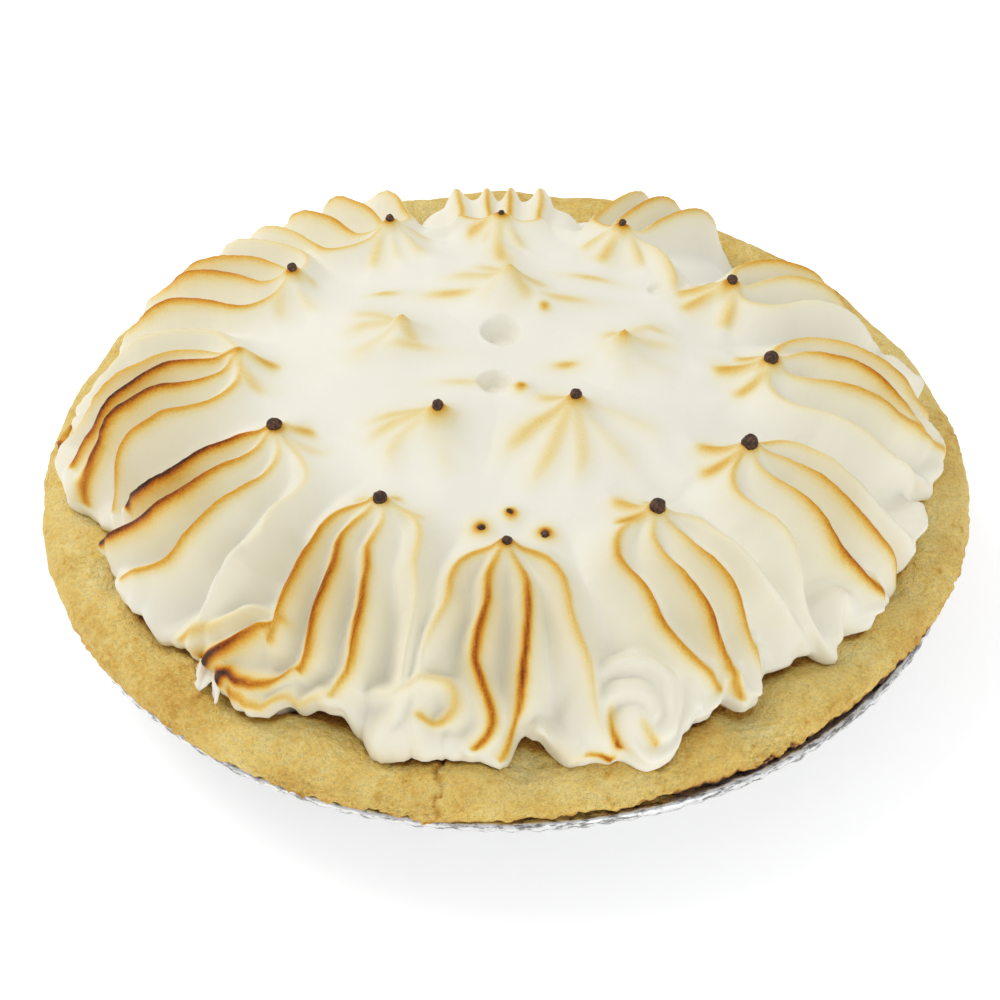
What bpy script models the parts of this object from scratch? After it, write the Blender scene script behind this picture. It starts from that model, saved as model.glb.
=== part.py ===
"""Lemon meringue pie, whole, in its foil tin.  Metres, +Z up, origin under the middle of the tin.

Three solids, each resting on the one below it with a hair of clearance: the pressed foil tin,
the baked crust with all that fills it, and the piped meringue with its two rings of star peaks.
"""

import math

import bpy
import mathutils
import numpy as np

# ---- driving dimensions -----------------------------------------------------------------------

GAP = 0.0003                 # clearance between two touching solids

TIN_HEIGHT = 0.0283          # floor to the top of the flange
TIN_BASE_RADIUS = 0.0905
TIN_MOUTH_RADIUS = 0.1065
TIN_RIM_RADIUS = 0.1168
TIN_WALL = 0.0003
TIN_BEAD = 0.0011            # radius of the rolled edge
TIN_STEPS = 46

CRUST_SEAT = 0.0340          # height of the filled middle, under the meringue
CRUST_DENTS = 23             # soft thumb dents round the rim
DENT_DEPTH = 0.0026
DENTS_BEGIN = (0.0955, 0.1040)   # between these radii the dents grow to their full depth
DENTS_FADE = (0.1060, 0.1170)    # and between these they lose three quarters of it
RISE_SPAN = (0.0950, 0.1080)     # over these radii the rim takes up RIM_RISE
EDGE_SPAN = (0.1040, 0.1180)     # over these it takes up RIM_EDGE
RIM_WANDER = 0.0007              # slow unevenness of the rim's radius
RIM_LANDING = (0.1140, 0.1170)   # the rim's underside, just over the flange
CRUST_STEPS = 92

MERINGUE_STEPS = 160
MIDDLE_RUN = 0.0950          # where down the side the fins and the mesh's columns agree best
COLUMNS_TURN = (0.0460, 0.0620)  # over these runs the columns turn to follow the fins
BROW_SPAN = (0.0600, 0.0800)     # over these the shoulder takes up each star's brow
FLARE_SPAN = (0.0800, 0.1080)    # and over these the side takes up FOOT
STAR_TURN = 0.75                 # a star and a fold reach this far round from their middle
FOLD_TURN = 0.40
SEAT_RADIUS = 0.0935             # flat underside of the meringue
UNDER_LIP = (0.0990, 0.0020)     # corner between that and the lip, over the seat
LONG_FIN = 50                # a fin that reaches further down than this has its own column, mm
FOOT_CLEARANCE = 0.0010      # the meringue's lower edge over the crust's rim
LIP = 0.0030                 # how far that edge reaches out past where it rests
LIP_RISE = 0.0012            # and how much higher it is
OUTER_RING = 0.0655          # radius of the ring of twelve star peaks
INNER_RING = 0.0290          # radius of the ring of five
PEAK_RISE = 0.0042           # how far a peak stands over the ridges that meet in it
PEAK_WIDTH = 0.0031
MM = 0.001

# The rim's upper surface from the seat to its blunt edge, as (radius, height) in millimetres.
RIM = (
    (95.0, 34.0), (99.0, 34.7), (104.5, 35.9), (110.5, 36.9), (115.0, 35.7), (117.4, 33.2),
    (118.0, 31.0),
)

# How far the rim's edge strays from its radius, and how much higher it stands, in millimetres, by
# bearing in degrees.
RIM_EDGE = ((-180, 0), (-120, 0), (-95, -1), (-80, -2.5), (-55, -3), (-38, -2), (-20, 0.5), (-5, 2.5),
            (15, 2.5), (40, 1.5), (90, 1), (140, 0.5))
RIM_RISE = ((-180, 0), (-60, -0.4), (-20, 0), (10, 0.8), (30, 2.2), (55, 3.4), (85, 4.2), (110, 3.6),
            (140, 1.5))

# The meringue's two limits, from the middle to the foot, as (radius, height) in millimetres: the
# troughs between stars, and the crests of their fins.
TROUGH = (
    (0, 68.0), (12, 67.9), (22, 67.8), (30, 67.6), (42, 67.0), (50, 66.0), (57, 64.3), (63, 62.2),
    (69, 59.8), (75, 57.0), (81, 53.2), (86.5, 48.6), (91.5, 44.0), (95.5, 40.2), (98.5, 37.0),
)
CREST = (
    (0, 69.0), (12, 69.0), (22, 69.2), (30, 69.4), (42, 69.6), (53, 69.8), (60, 70.0), (66, 70.1),
    (72, 69.7), (79, 69.6), (87, 69.2), (94, 66.0), (99.0, 58.0), (102.4, 48.0), (104.5, 37.4),
)

# The twelve outer stars, counterclockwise from the front.  bearing: degrees.  out: how far the
# peak is outside its ring, mm.  brow: how far the fins' shoulder is outside the others', mm.
# tall: how high the fins stand, 1 for most.  blunt: how round their crests are, mm.  fill: how
# far the scoops between its fins and beside them are filled near the top.  fins: each long
# ridge's distance to the side of the star's line, mm, at 14, 30 and 45 mm down from the peak and
# at its end, and how far down it ends.  stubs: the short inward ridges, as the bearings from the
# star's line on which each leaves and ends, and its length in mm.
STARS = (
    dict(bearing=-89, out=3.5, brow=-2, tall=1, blunt=1.3, fill=(0, 0), fins=(
        (-14, -19, -21, -21, 57), (-5, -7.5, -4, -8, 53),
        (4.5, 4, 1.5, -2, 57), (13.5, 17, 20, 22, 56)),
        stubs=((180, 180, 8),)),
    dict(bearing=-57, out=0.5, brow=0, tall=1, blunt=1.3, fill=(0, 0), fins=(
        (-16, -16, -9.5, -7, 54), (-6, -5, -3.5, -2, 60),
        (2, 4, 5, 6, 60), (9.5, 13, 18.5, 22, 60)),
        stubs=((-95, -108, 11), (-145, -161, 12), (150, 150, 7))),
    dict(bearing=-30, out=2.5, brow=0, tall=1, blunt=1.3, fill=(0, 0), fins=(
        (-16, -22, -24, -22, 57), (-5.5, -9, -6, -2, 57),
        (3.5, 2, 7, 8.5, 59), (10.5, 9.5, 14, 17, 56)),
        stubs=((-165, -177, 13), (-115, -122, 13.5), (160, 160, 7))),
    dict(bearing=0, out=1.0, brow=1, tall=1, blunt=1.3, fill=(0, 0), fins=(
        (-17, -24, -18, -15, 58), (-5, -8.5, -6, -5, 58),
        (5, -2, -6, -6, 44), (11.5, 7, 6, 7, 58)),
        stubs=((-108, -134, 12), (160, 174, 14), (115, 126, 12))),
    dict(bearing=29, out=1.5, brow=0, tall=0.98, blunt=1.5, fill=(0, 0), fins=(
        (-12.5, -19, -19, -18, 57), (-2, -9, -9, -8, 57),
        (7, 0, 1, 2, 57)),
        stubs=((-105, -119, 13), (165, 178, 14), (130, 141, 14), (108, 100, 12))),
    dict(bearing=61, out=0.0, brow=-6, tall=0.95, blunt=1.6, fill=(0.2, 0.2), fins=(
        (-15, -16, -16, -16, 34), (-6, -12, -11, -9, 57),
        (4, -1, 0, 2, 57), (11.5, 8, 9, 12, 56)),
        stubs=((-110, -121, 14), (170, 177, 14), (122, 131, 13))),
    dict(bearing=91, out=-3.0, brow=-13, tall=0.88, blunt=2.4, fill=(0.78, 0.56), fins=(
        (-12.5, -14, -14, -14, 58), (-3.4, -3.5, -4, -4, 58),
        (3.8, 4, 4, 4, 58), (12.5, 13, 13, 13, 58)),
        stubs=((-140, -140, 12), (170, 186, 27), (140, 140, 10), (105, 100, 12))),
    dict(bearing=118, out=0.5, brow=-6, tall=0.95, blunt=1.6, fill=(0.2, 0.2), fins=(
        (-9, -10, -10, -10, 57), (0.5, 4, 4, 4, 57),
        (11, 16, 17, 18, 57), (23, 28, 29, 29, 56)),
        stubs=((118, 128, 16), (160, 165, 12), (-150, -157, 14), (-110, -110, 12))),
    dict(bearing=148, out=0.0, brow=-4, tall=0.97, blunt=1.4, fill=(0, 0), fins=(
        (-3.5, 0, -1, -2, 57), (6, 8, 8, 8, 57),
        (19, 24, 23, 22, 56), (-13, -12, -12, -12, 56)),
        stubs=((100, 97, 17), (148, 140, 13), (-140, -140, 7))),
    dict(bearing=179, out=0.0, brow=2, tall=1, blunt=1.3, fill=(0, 0), fins=(
        (-3, 3, 5, 6, 58), (2, 12, 15, 16, 59),
        (10.5, 17.5, 20, 22, 59), (19.5, 27, 36, 40, 54),
        (-12, -12, -12, -12, 58)),
        stubs=((100, 107, 15), (165, 165, 8), (180, 180, 9))),
    dict(bearing=-153, out=-4.5, brow=0, tall=1, blunt=1.3, fill=(0, 0), fins=(
        (-3, 0.5, -6, -10, 62), (4, 8, 4, -1, 62),
        (12.5, 20, 17, 12, 62), (24, 32, 34, 33, 62)),
        stubs=((-70, -70, 5), (108, 118, 14), (165, 172, 9))),
    dict(bearing=-118, out=-4.5, brow=-1, tall=1, blunt=1.3, fill=(0, 0), fins=(
        (-8.5, -7.5, -7, -8, 41), (-2.5, 1, 2.5, -19, 63),
        (5, 11.5, 13.5, -8, 65), (16, 23.5, 26, 24, 58)),
        stubs=((-105, -77, 9), (96, 78, 14), (161, 161, 7))),
)

# The five inner stars: bearing, how far the peak is outside its ring in mm, and its ridges like
# the stubs above.
INNER_STARS = (
    dict(bearing=-122, out=0.2, ridges=(
        (-103, -55, 22), (-89, -33, 22), (-58, 0, 23), (45, 35, 22),
        (80, 60, 14), (-170, 122, 9), (-159, -159, 11), (-130, -118, 14))),
    dict(bearing=-48, out=-2.4, ridges=(
        (175, 188, 17), (-118, -88, 28), (-73, -63, 33), (-32, -42, 29),
        (-3, -5, 33), (66, 14, 28), (105, 90, 13), (-145, -150, 9))),
    dict(bearing=9, out=1.6, ridges=(
        (90, 126, 12), (64, 34, 20), (140, 178, 9), (20, 2, 18),
        (-50, -35, 16), (-95, -80, 13), (-150, -150, 9))),
    dict(bearing=87, out=1.3, ridges=(
        (62, 81, 23), (33, 48, 18), (-29, -20, 12), (-76, -80, 13),
        (7, 4, 24), (115, 125, 12), (165, 165, 12), (-135, -135, 10))),
    dict(bearing=157, out=-1.3, ridges=(
        (-35, -8, 21), (-20, 26, 19), (50, 58, 21), (-73, -73, 12),
        (100, 110, 12), (150, 150, 9), (-140, -140, 10))),
)

# Folds piled up at the foot: each one's path as (bearing, distance up the side from the foot in
# mm), how far it stands out, 1 as a fin's crest, and how wide it is, 1 as a fin.
FOLDS = (
    dict(path=((-110, 14), (-105, 17), (-100, 22), (-97, 21), (-96, 15), (-98, 11)), out=0.88, wide=1.5),
    dict(path=((-116, 6), (-110, 3), (-103, 1.5), (-97, 2)), out=1.1, wide=2.0),
    dict(path=((168, 8), (176, 5), (184, 5), (190, 9)), out=1.1, wide=1.8),
)

# The round swirl piped into the gap right of the front star.
SWIRL = dict(bearing=-72.0, up=0.012, spread=0.018, out=0.92)

# Where the foot's edge lies, as (bearing in degrees, radius in mm).
FOOT = (
    (-179, 111), (-176, 113), (-171, 112), (-168, 106), (-162, 102.5), (-157, 105), (-146, 107),
    (-137, 104), (-129, 105.5), (-125, 109), (-121, 109), (-116, 103.5), (-110, 103), (-106, 107.5),
    (-97, 108), (-91, 107.5), (-87, 101.5), (-83, 104), (-80, 108.5), (-71, 112), (-67, 108),
    (-60, 102), (-56.5, 106.5), (-52, 101), (-44, 102.5), (-40, 105), (-35.5, 108), (-24, 105.5),
    (-15, 107), (-9.5, 105), (-5, 110.5), (-1, 112.5), (9, 110.5), (18, 107), (33, 106), (50, 103),
    (61, 105), (75, 101), (91, 100), (104, 99), (118, 105), (133, 104), (148, 108), (163, 107),
    (172, 109),
)
PLAIN_FOOT = 105.2           # radius of the foot where neither limit above is moved, mm

# ---- scene and materials ----------------------------------------------------------------------

for leftover in list(bpy.data.objects):
    bpy.data.objects.remove(leftover)

PIE = bpy.data.collections.new("lemon_meringue_pie")
bpy.context.scene.collection.children.link(PIE)


def finish(name, colour, roughness, metallic=0.0):
    """A plain Principled material in the part's own colour."""
    material = bpy.data.materials.new(name)
    material.use_nodes = True
    shader = material.node_tree.nodes["Principled BSDF"]
    shader.inputs["Base Color"].default_value = (*colour, 1.0)
    shader.inputs["Roughness"].default_value = roughness
    shader.inputs["Metallic"].default_value = metallic
    return material


# ---- turning and shaping ----------------------------------------------------------------------


def turned(name, profile, steps, material):
    """Turn a (radius, height) profile, listed from the top down its outer side, about Z."""
    mesh = bpy.data.meshes.new(name)
    corners = [(radius, 0.0, height) for radius, height in profile]
    mesh.from_pydata(corners, [(i, i + 1) for i in range(len(corners) - 1)], [])
    mesh.materials.append(material)
    piece = bpy.data.objects.new(name, mesh)
    PIE.objects.link(piece)
    screw = piece.modifiers.new("turn", "SCREW")
    screw.steps = steps
    screw.render_steps = steps
    screw.use_merge_vertices = True
    screw.merge_threshold = 0.00005
    return piece


def shaped(piece, profile, shape):
    """Make the turned piece a mesh and put each point where shape(row, bearing) says."""
    evaluated = piece.evaluated_get(bpy.context.evaluated_depsgraph_get())
    mesh = bpy.data.meshes.new_from_object(evaluated)
    piece.modifiers.clear()
    piece.data = mesh
    places = np.empty(len(mesh.vertices) * 3)
    mesh.vertices.foreach_get("co", places)
    places = places.reshape(-1, 3)
    bearing = np.arctan2(places[:, 1], places[:, 0])
    section = np.stack([np.hypot(places[:, 0], places[:, 1]), places[:, 2]], 1)
    rings = np.array(profile)
    row = np.argmin(np.linalg.norm(section[:, None] - rings[None], axis=2), axis=1)
    radius, bearing, height = shape(row, bearing)
    radius = np.where(section[:, 0] < GAP, 0.0, radius)
    moved = np.stack([radius * np.cos(bearing), radius * np.sin(bearing), height], 1)
    mesh.vertices.foreach_set("co", moved.ravel())
    mesh.update()


def smooth(piece):
    piece.data.shade_smooth()
    piece.data.set_sharp_from_angle(angle=math.radians(50))


def ripple(bearing, scale):
    """Slow, closed unevenness round the pie, between about -1 and 1."""
    spots = [mathutils.Vector((math.cos(a) * scale, math.sin(a) * scale, 0.0)) for a in bearing]
    return np.array([mathutils.noise.noise(spot) * 1.6 for spot in spots])


def ramp(span, value):
    """0 at the start of the span, 1 at its end, straight between."""
    return np.clip((value - span[0]) / (span[1] - span[0]), 0.0, 1.0)


def eased(low, high, value):
    share = ramp((low, high), value)
    return share * share * (3.0 - 2.0 * share)


def by_bearing(knots, bearing):
    """A value in millimetres given at some bearings in degrees, in metres at each bearing."""
    angles, values = np.array(knots, dtype=float).T
    return np.interp(bearing, np.radians(angles), values, period=2 * math.pi) * MM


def rounded(knots, count):
    """A smooth line through the knots."""
    place = np.linspace(0.0, len(knots) - 1.0, count)
    index = np.minimum(place.astype(int), len(knots) - 2)
    part = (place - index)[:, None]
    before = knots[np.maximum(index - 1, 0)]
    start = knots[index]
    end = knots[index + 1]
    after = knots[np.minimum(index + 2, len(knots) - 1)]
    return 0.5 * (2 * start + (end - before) * part
                  + (2 * before - 5 * start + 4 * end - after) * part ** 2
                  + (3 * start - before - 3 * end + after) * part ** 3)


# ---- foil tin ---------------------------------------------------------------------------------


def tin_outline():
    """Outer side of the tin below its rolled edge, as (radius, height), from the flange down."""
    return (
        (TIN_RIM_RADIUS - TIN_BEAD, TIN_HEIGHT),
        (TIN_MOUTH_RADIUS + 0.0010, TIN_HEIGHT),
        (TIN_MOUTH_RADIUS - 0.0006, TIN_HEIGHT - 0.0014),
        (TIN_BASE_RADIUS + 0.0016, 0.0030),
        (TIN_BASE_RADIUS - 0.0004, 0.0006),
        (TIN_BASE_RADIUS - 0.0030, 0.0),
        (0.0, 0.0),
    )


def inset(outline, distance):
    """The same outline moved inwards, square to itself, by a distance."""
    points = np.array(outline)
    travel = np.diff(points, axis=0)
    travel /= np.linalg.norm(travel, axis=1)[:, None]
    inward = np.stack([-travel[:, 1], travel[:, 0]], 1) * -1.0
    before = np.vstack([inward[:1], inward])
    after = np.vstack([inward, inward[-1:]])
    mitre = (before + after) / (1.0 + np.sum(before * after, axis=1))[:, None]
    return points + distance * mitre


def foil_tin():
    """Pressed foil: flat floor, sloping wall, flange and an edge rolled under."""
    centre_radius = TIN_RIM_RADIUS - TIN_BEAD
    profile = []
    for turn in range(-2, 2):
        angle = math.radians(45 * turn)
        profile.append((centre_radius + TIN_BEAD * math.cos(angle),
                        TIN_HEIGHT - TIN_BEAD + TIN_BEAD * math.sin(angle)))
    profile.extend(tin_outline())
    tin = turned("foil_tin", profile, TIN_STEPS, finish("foil", (0.62, 0.63, 0.66), 0.28, 1.0))
    wall = tin.modifiers.new("wall", "SOLIDIFY")
    wall.thickness = TIN_WALL
    wall.offset = -1.0
    smooth(tin)
    return tin


# ---- crust ------------------------------------------------------------------------------------


def rim_top(radius, bearing):
    """Height of the crust's upper surface: a level seat, then a rim with soft thumb dents."""
    rim_radius, rim_height = np.array(RIM).T * MM
    plain = np.interp(radius, rim_radius, rim_height)
    rise = by_bearing(RIM_RISE, bearing) * ramp(RISE_SPAN, radius)
    uneven = 1.4 * np.sin(2.0 * bearing + 0.6) + 0.7 * np.sin(5.0 * bearing)
    scoop = (0.5 + 0.5 * np.sin(CRUST_DENTS * bearing + uneven)) ** 1.6
    inner_side = 1.0 - 0.75 * eased(*DENTS_FADE, radius)
    dent = DENT_DEPTH * (0.35 - scoop) * inner_side * eased(*DENTS_BEGIN, radius)
    return plain + rise + dent


def crust_profile():
    """The crust's section: over the top, round the rim and down the inside of the tin."""
    facet_play = TIN_MOUTH_RADIUS * (1.0 - math.cos(math.pi / TIN_STEPS))
    shell = inset(tin_outline(), TIN_WALL + GAP + facet_play)
    underside = shell[1][1]
    upper = ((0.0, CRUST_SEAT),) + tuple((radius * MM, height * MM) for radius, height in RIM)
    edge = ((RIM_LANDING[1], underside + GAP), (RIM_LANDING[0], underside))
    lower = tuple((max(radius, 0.0), height) for radius, height in shell[1:])
    return upper + edge + lower


def crust():
    """Short pastry rim and shell with the set filling, one solid down to the tin's floor."""
    profile = crust_profile()
    body = turned("crust", profile, CRUST_STEPS, finish("pastry", (0.74, 0.56, 0.28), 0.75))
    radii, heights = np.array(profile).T
    last_rim_row = len(RIM)
    outer_rows = last_rim_row + 1

    def shape(row, bearing):
        radius = radii[row]
        height = heights[row]
        on_top = (row >= 1) & (row < last_rim_row)
        height = np.where(on_top, rim_top(radius, bearing), height)
        height = np.where(row == last_rim_row, height + 0.5 * by_bearing(RIM_RISE, bearing), height)
        wander = RIM_WANDER * (ripple(bearing, 2.2) + 0.6 * ripple(bearing, 6.0))
        wander = (wander + by_bearing(RIM_EDGE, bearing)) * ramp(EDGE_SPAN, radius)
        radius = radius + np.where((row >= 1) & (row <= outer_rows), wander, 0.0)
        return radius, bearing, height

    shaped(body, profile, shape)
    smooth(body)
    return body


# ---- meringue ---------------------------------------------------------------------------------


def pulled(start, leave, end, slope):
    """A piped ridge's upper end: it leaves start on a bearing and comes round to a slope at end."""
    span = np.linalg.norm(end - start)
    first = start + 0.45 * span * np.array([math.cos(leave), math.sin(leave)])
    second = end - 0.42 * span * np.array([1.0, slope])
    part = np.linspace(0.0, 1.0, 9)[:, None]
    return ((1 - part) ** 3 * start + 3 * (1 - part) ** 2 * part * first
            + 3 * (1 - part) * part ** 2 * second + part ** 3 * end)


def fin_line(side, mid, low, foot, reach):
    """A long fin's line from the peak, round to its place on the shoulder, down to its foot."""
    leave = math.radians(np.clip(6.5 * side, -105, 105))
    upper = pulled(np.zeros(2), leave, np.array([14.0, side]), (mid - side) / 30)
    knots = np.array([(-2.0, side), (14.0, side), (30.0, mid), (45.0, low), (reach, foot)])
    lower = rounded(knots, 21)
    return np.concatenate([upper, lower[6:]]) * MM


def stub_line(leave, arrive, length):
    """A short ridge that fades into the top, bent from one bearing to another."""
    part = np.linspace(0.0, 1.0, 6)
    turn = np.radians(leave + (arrive - leave) * part)
    return np.stack([part * np.cos(turn), part * np.sin(turn)], 1) * length * MM


def nearest(line, x, y):
    """Distance of each point to a line, and how far along the line that is, 0 to 1."""
    best = np.full(x.shape, 9.0)
    along = np.zeros(x.shape)
    count = len(line) - 1
    for i in range(count):
        step = line[i + 1] - line[i]
        share = ((x - line[i, 0]) * step[0] + (y - line[i, 1]) * step[1]) / (step @ step)
        share = np.clip(share, 0.0, 1.0)
        away = np.hypot(x - line[i, 0] - share * step[0], y - line[i, 1] - share * step[1])
        closer = away < best
        best = np.where(closer, away, best)
        along = np.where(closer, (i + share) / count, along)
    return best, along


def ridge_lift(distance, blunt):
    """Cross-section of one piped ridge: a rounded crest standing on a broad skirt."""
    crest = np.exp(-(np.sqrt(distance ** 2 + blunt ** 2) - blunt) / 0.0027)
    return 0.62 * crest + 0.38 * np.exp(-(distance / 0.0082) ** 2)


def turn_from(bearing, degrees):
    """How far each bearing is from one given in degrees, the short way round."""
    return (bearing - math.radians(degrees) + math.pi) % (2 * math.pi) - math.pi


def outer_star(star, x, y):
    """How far an outer star lifts each point from its trough (0) to its crest (1)."""
    lift = np.zeros(x.shape)
    for fin in star["fins"]:
        distance, share = nearest(fin_line(*fin), x, y)
        strength = 1.0 - 0.15 * eased(0.85, 1.0, share)
        lift += (strength * ridge_lift(distance, star["blunt"] * MM)) ** 6
    for stub in star["stubs"]:
        distance, share = nearest(stub_line(*stub), x, y)
        lift += ((0.88 - 0.6 * eased(0.3, 1.0, share)) * ridge_lift(distance, 0.0015)) ** 6
    between, beside = star["fill"]
    body = np.maximum(between * np.exp(-(y / 0.0175) ** 8), beside * np.exp(-(y / 0.0270) ** 8))
    body = body * eased(-0.004, 0.008, x) * (1.0 - 0.6 * eased(0.022, 0.045, x))
    return (np.minimum(lift, 1.6) * star["tall"] ** 6 + body ** 6) ** (1 / 6)


def inner_star(star, run, bearing):
    """How high an inner star stands over the top of the meringue, in metres."""
    centre = INNER_RING + star["out"] * MM
    a = math.radians(star["bearing"])
    away_x = run * np.cos(bearing) - centre * math.cos(a)
    away_y = run * np.sin(bearing) - centre * math.sin(a)
    x = away_x * math.cos(a) + away_y * math.sin(a)
    y = away_y * math.cos(a) - away_x * math.sin(a)
    hill = np.zeros(x.shape)
    for ridge in star["ridges"]:
        distance, share = nearest(stub_line(*ridge), x, y)
        hill += ((1.0 - 0.85 * share) * ridge_lift(0.75 * distance, 0.0016)) ** 4
    return 0.0044 * hill ** 0.25 + PEAK_RISE * np.exp(-np.hypot(x, y) / PEAK_WIDTH)


def crest_line():
    """The fins' crests from the middle to the foot, and how far down the side each point is."""
    crest = np.array(CREST) * MM
    return crest, np.concatenate([[0.0], np.cumsum(np.linalg.norm(np.diff(crest, axis=0), axis=1))])


def fin_bearings(run):
    """The bearing of every long fin at a run down the side: a bundle at the peak, then spread."""
    crest, crest_run = crest_line()
    radius = np.interp(run, crest_run, crest[:, 0])
    bearings = []
    for star in STARS:
        down = (run - np.interp(OUTER_RING + star["out"] * MM, crest[:, 0], crest_run)) / MM
        bundle = 0.25 + 0.75 * eased(0.0, 14.0, down)
        for side, mid, low, foot, reach in star["fins"]:
            if reach > LONG_FIN:
                across = bundle * np.interp(down, (14, 30, 45, reach), (side, mid, low, foot))
                bearings.append(math.radians(star["bearing"]) + across * MM / max(radius, 0.03))
    return np.array(bearings)


def fin_columns():
    """The column of the turned mesh that will follow each long fin: near it, in the same order."""
    step = 2 * math.pi / MERINGUE_STEPS
    middle = fin_bearings(MIDDLE_RUN)
    columns = np.empty(len(middle))
    before = -9e9
    for i in np.argsort(middle):
        before = max(round(middle[i] / step), before + 2)
        columns[i] = before
    return columns * step


def along_fins(run, bearing):
    """Bearings moved so that a column of the mesh runs down each fin and others lie between."""
    columns = fin_columns()
    moved = bearing.copy()
    for level in np.unique(run):
        here = run == level
        goal = columns + (fin_bearings(level) - columns) * eased(*COLUMNS_TURN, level)
        order = np.argsort(columns)
        shift = np.interp(bearing[here], columns[order], (goal - columns)[order], period=2 * math.pi)
        moved[here] = bearing[here] + shift
    return moved


def meringue_surface(run, bearing):
    """Radius and height of the meringue's outer surface, at a run down its side and a bearing."""
    trough = np.array(TROUGH) * MM
    crest, crest_run = crest_line()
    low_r, low_z = (np.interp(run, crest_run, trough[:, k]) for k in (0, 1))
    high_r, high_z = (np.interp(run, crest_run, crest[:, k]) for k in (0, 1))

    lift = np.zeros(run.shape)
    rise = np.zeros(run.shape)
    for star in STARS:
        peak_run = np.interp(OUTER_RING + star["out"] * MM, crest[:, 0], crest_run)
        turn = turn_from(bearing, star["bearing"])
        near = np.abs(turn) < STAR_TURN
        x = run[near] - peak_run
        y = turn[near] * high_r[near]
        lift[near] = (lift[near] ** 6 + outer_star(star, x, y) ** 6) ** (1 / 6)
        rise[near] = np.maximum(rise[near], PEAK_RISE * np.exp(-np.hypot(x, y) / PEAK_WIDTH))
    up = crest_run[-1] - run
    for fold in FOLDS:
        knots = np.array(fold["path"], dtype=float)
        middle = knots[:, 0].mean()
        line = np.stack([knots[:, 1] * MM, np.radians(knots[:, 0] - middle) * crest[-1, 0]], 1)
        turn = turn_from(bearing, middle)
        distance, share = nearest(rounded(line, 4 * len(line)), up, turn * high_r)
        fold_lift = fold["out"] * ridge_lift(distance / fold["wide"], 0.0018)
        lift = np.where(np.abs(turn) < FOLD_TURN, (lift ** 6 + fold_lift ** 6) ** (1 / 6), lift)
    across = turn_from(bearing, SWIRL["bearing"]) * high_r
    part = np.hypot(across, up - SWIRL["up"]) / SWIRL["spread"]
    dome = SWIRL["out"] * (1.0 - np.minimum(part, 1.0) ** 2) ** 0.4
    lift = (lift ** 6 + dome ** 6) ** (1 / 6)
    for star in INNER_STARS:
        rise = np.maximum(rise, inner_star(star, run, bearing))

    outward = eased(*FLARE_SPAN, run)
    brows = sorted((star["bearing"], star["brow"]) for star in STARS)
    brow = by_bearing(brows, bearing) * eased(*BROW_SPAN, run) * (1.0 - outward)
    foot = (by_bearing(FOOT, bearing) - PLAIN_FOOT * MM) * outward
    return low_r + lift * (high_r - low_r) + foot + brow, low_z + lift * (high_z - low_z) + rise


def meringue():
    """Piped meringue: two rings of star peaks whose fins run down to a loose lower edge."""
    crest, crest_run = crest_line()
    last = len(crest) - 1
    under = (UNDER_LIP[0], CRUST_SEAT + UNDER_LIP[1])
    seat = ((SEAT_RADIUS, CRUST_SEAT + GAP), (0.0, CRUST_SEAT + GAP))
    profile = tuple(map(tuple, crest)) + (under,) + seat
    body = turned("meringue", profile, MERINGUE_STEPS, finish("meringue", (0.90, 0.88, 0.80), 0.6))

    def shape(row, bearing):
        run = crest_run[np.minimum(row, last)]
        bearing = along_fins(run, bearing)
        radius, height = meringue_surface(run, bearing)
        radius = np.where(row >= last, by_bearing(FOOT, bearing), radius)
        edge_top = rim_top(radius, bearing) + FOOT_CLEARANCE + LIP_RISE
        height = np.where(row == last, edge_top, height)
        height = np.where(row > last - 3, np.maximum(height, edge_top), height)
        resting = radius - LIP
        radius = np.where(row == last + 1, resting, radius)
        height = np.where(row == last + 1, rim_top(resting, bearing) + FOOT_CLEARANCE, height)
        for k, (seat_radius, seat_height) in enumerate(seat):
            radius = np.where(row == last + 2 + k, seat_radius, radius)
            height = np.where(row == last + 2 + k, seat_height, height)
        return radius, bearing, height

    shaped(body, profile, shape)
    smooth(body)
    return body


foil_tin()
crust()
meringue()
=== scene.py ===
"""Lemon meringue pie in its foil tin: the finish of every surface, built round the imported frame."""

import math

import bpy
import numpy as np
from mathutils import Matrix, Vector, noise
from mathutils.bvhtree import BVHTree


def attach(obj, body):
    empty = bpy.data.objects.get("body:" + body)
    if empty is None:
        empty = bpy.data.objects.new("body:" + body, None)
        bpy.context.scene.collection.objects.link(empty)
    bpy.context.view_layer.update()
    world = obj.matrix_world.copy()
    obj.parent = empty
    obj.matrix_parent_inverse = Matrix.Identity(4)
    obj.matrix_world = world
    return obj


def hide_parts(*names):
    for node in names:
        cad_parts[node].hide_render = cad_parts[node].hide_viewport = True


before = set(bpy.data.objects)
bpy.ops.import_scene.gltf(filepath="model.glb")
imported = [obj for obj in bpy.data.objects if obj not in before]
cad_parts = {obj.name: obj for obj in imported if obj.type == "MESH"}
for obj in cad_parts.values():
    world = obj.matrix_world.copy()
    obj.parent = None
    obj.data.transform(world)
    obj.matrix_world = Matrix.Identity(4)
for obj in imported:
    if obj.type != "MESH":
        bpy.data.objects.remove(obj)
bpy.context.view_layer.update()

MM = 0.001

# ==== Studio ==================================================================================
# A pale seamless table, one broad soft lamp overhead, a weaker one from the front, and a camera
# that looks down on the pie from the height of someone standing at the table.

RIM_LEVEL = 33.5 * MM            # the camera is measured from the middle of the crust's rim
CAMERA_DISTANCE = 0.70
CAMERA_ELEVATION = math.radians(41.07)
CAMERA_ROLL = math.radians(-0.52)
CAMERA_LENS = 97.4
AIM_BELOW = math.radians(0.585)  # the pie sits a little above the middle of the view
AIM_LEFT = math.radians(0.054)

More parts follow.
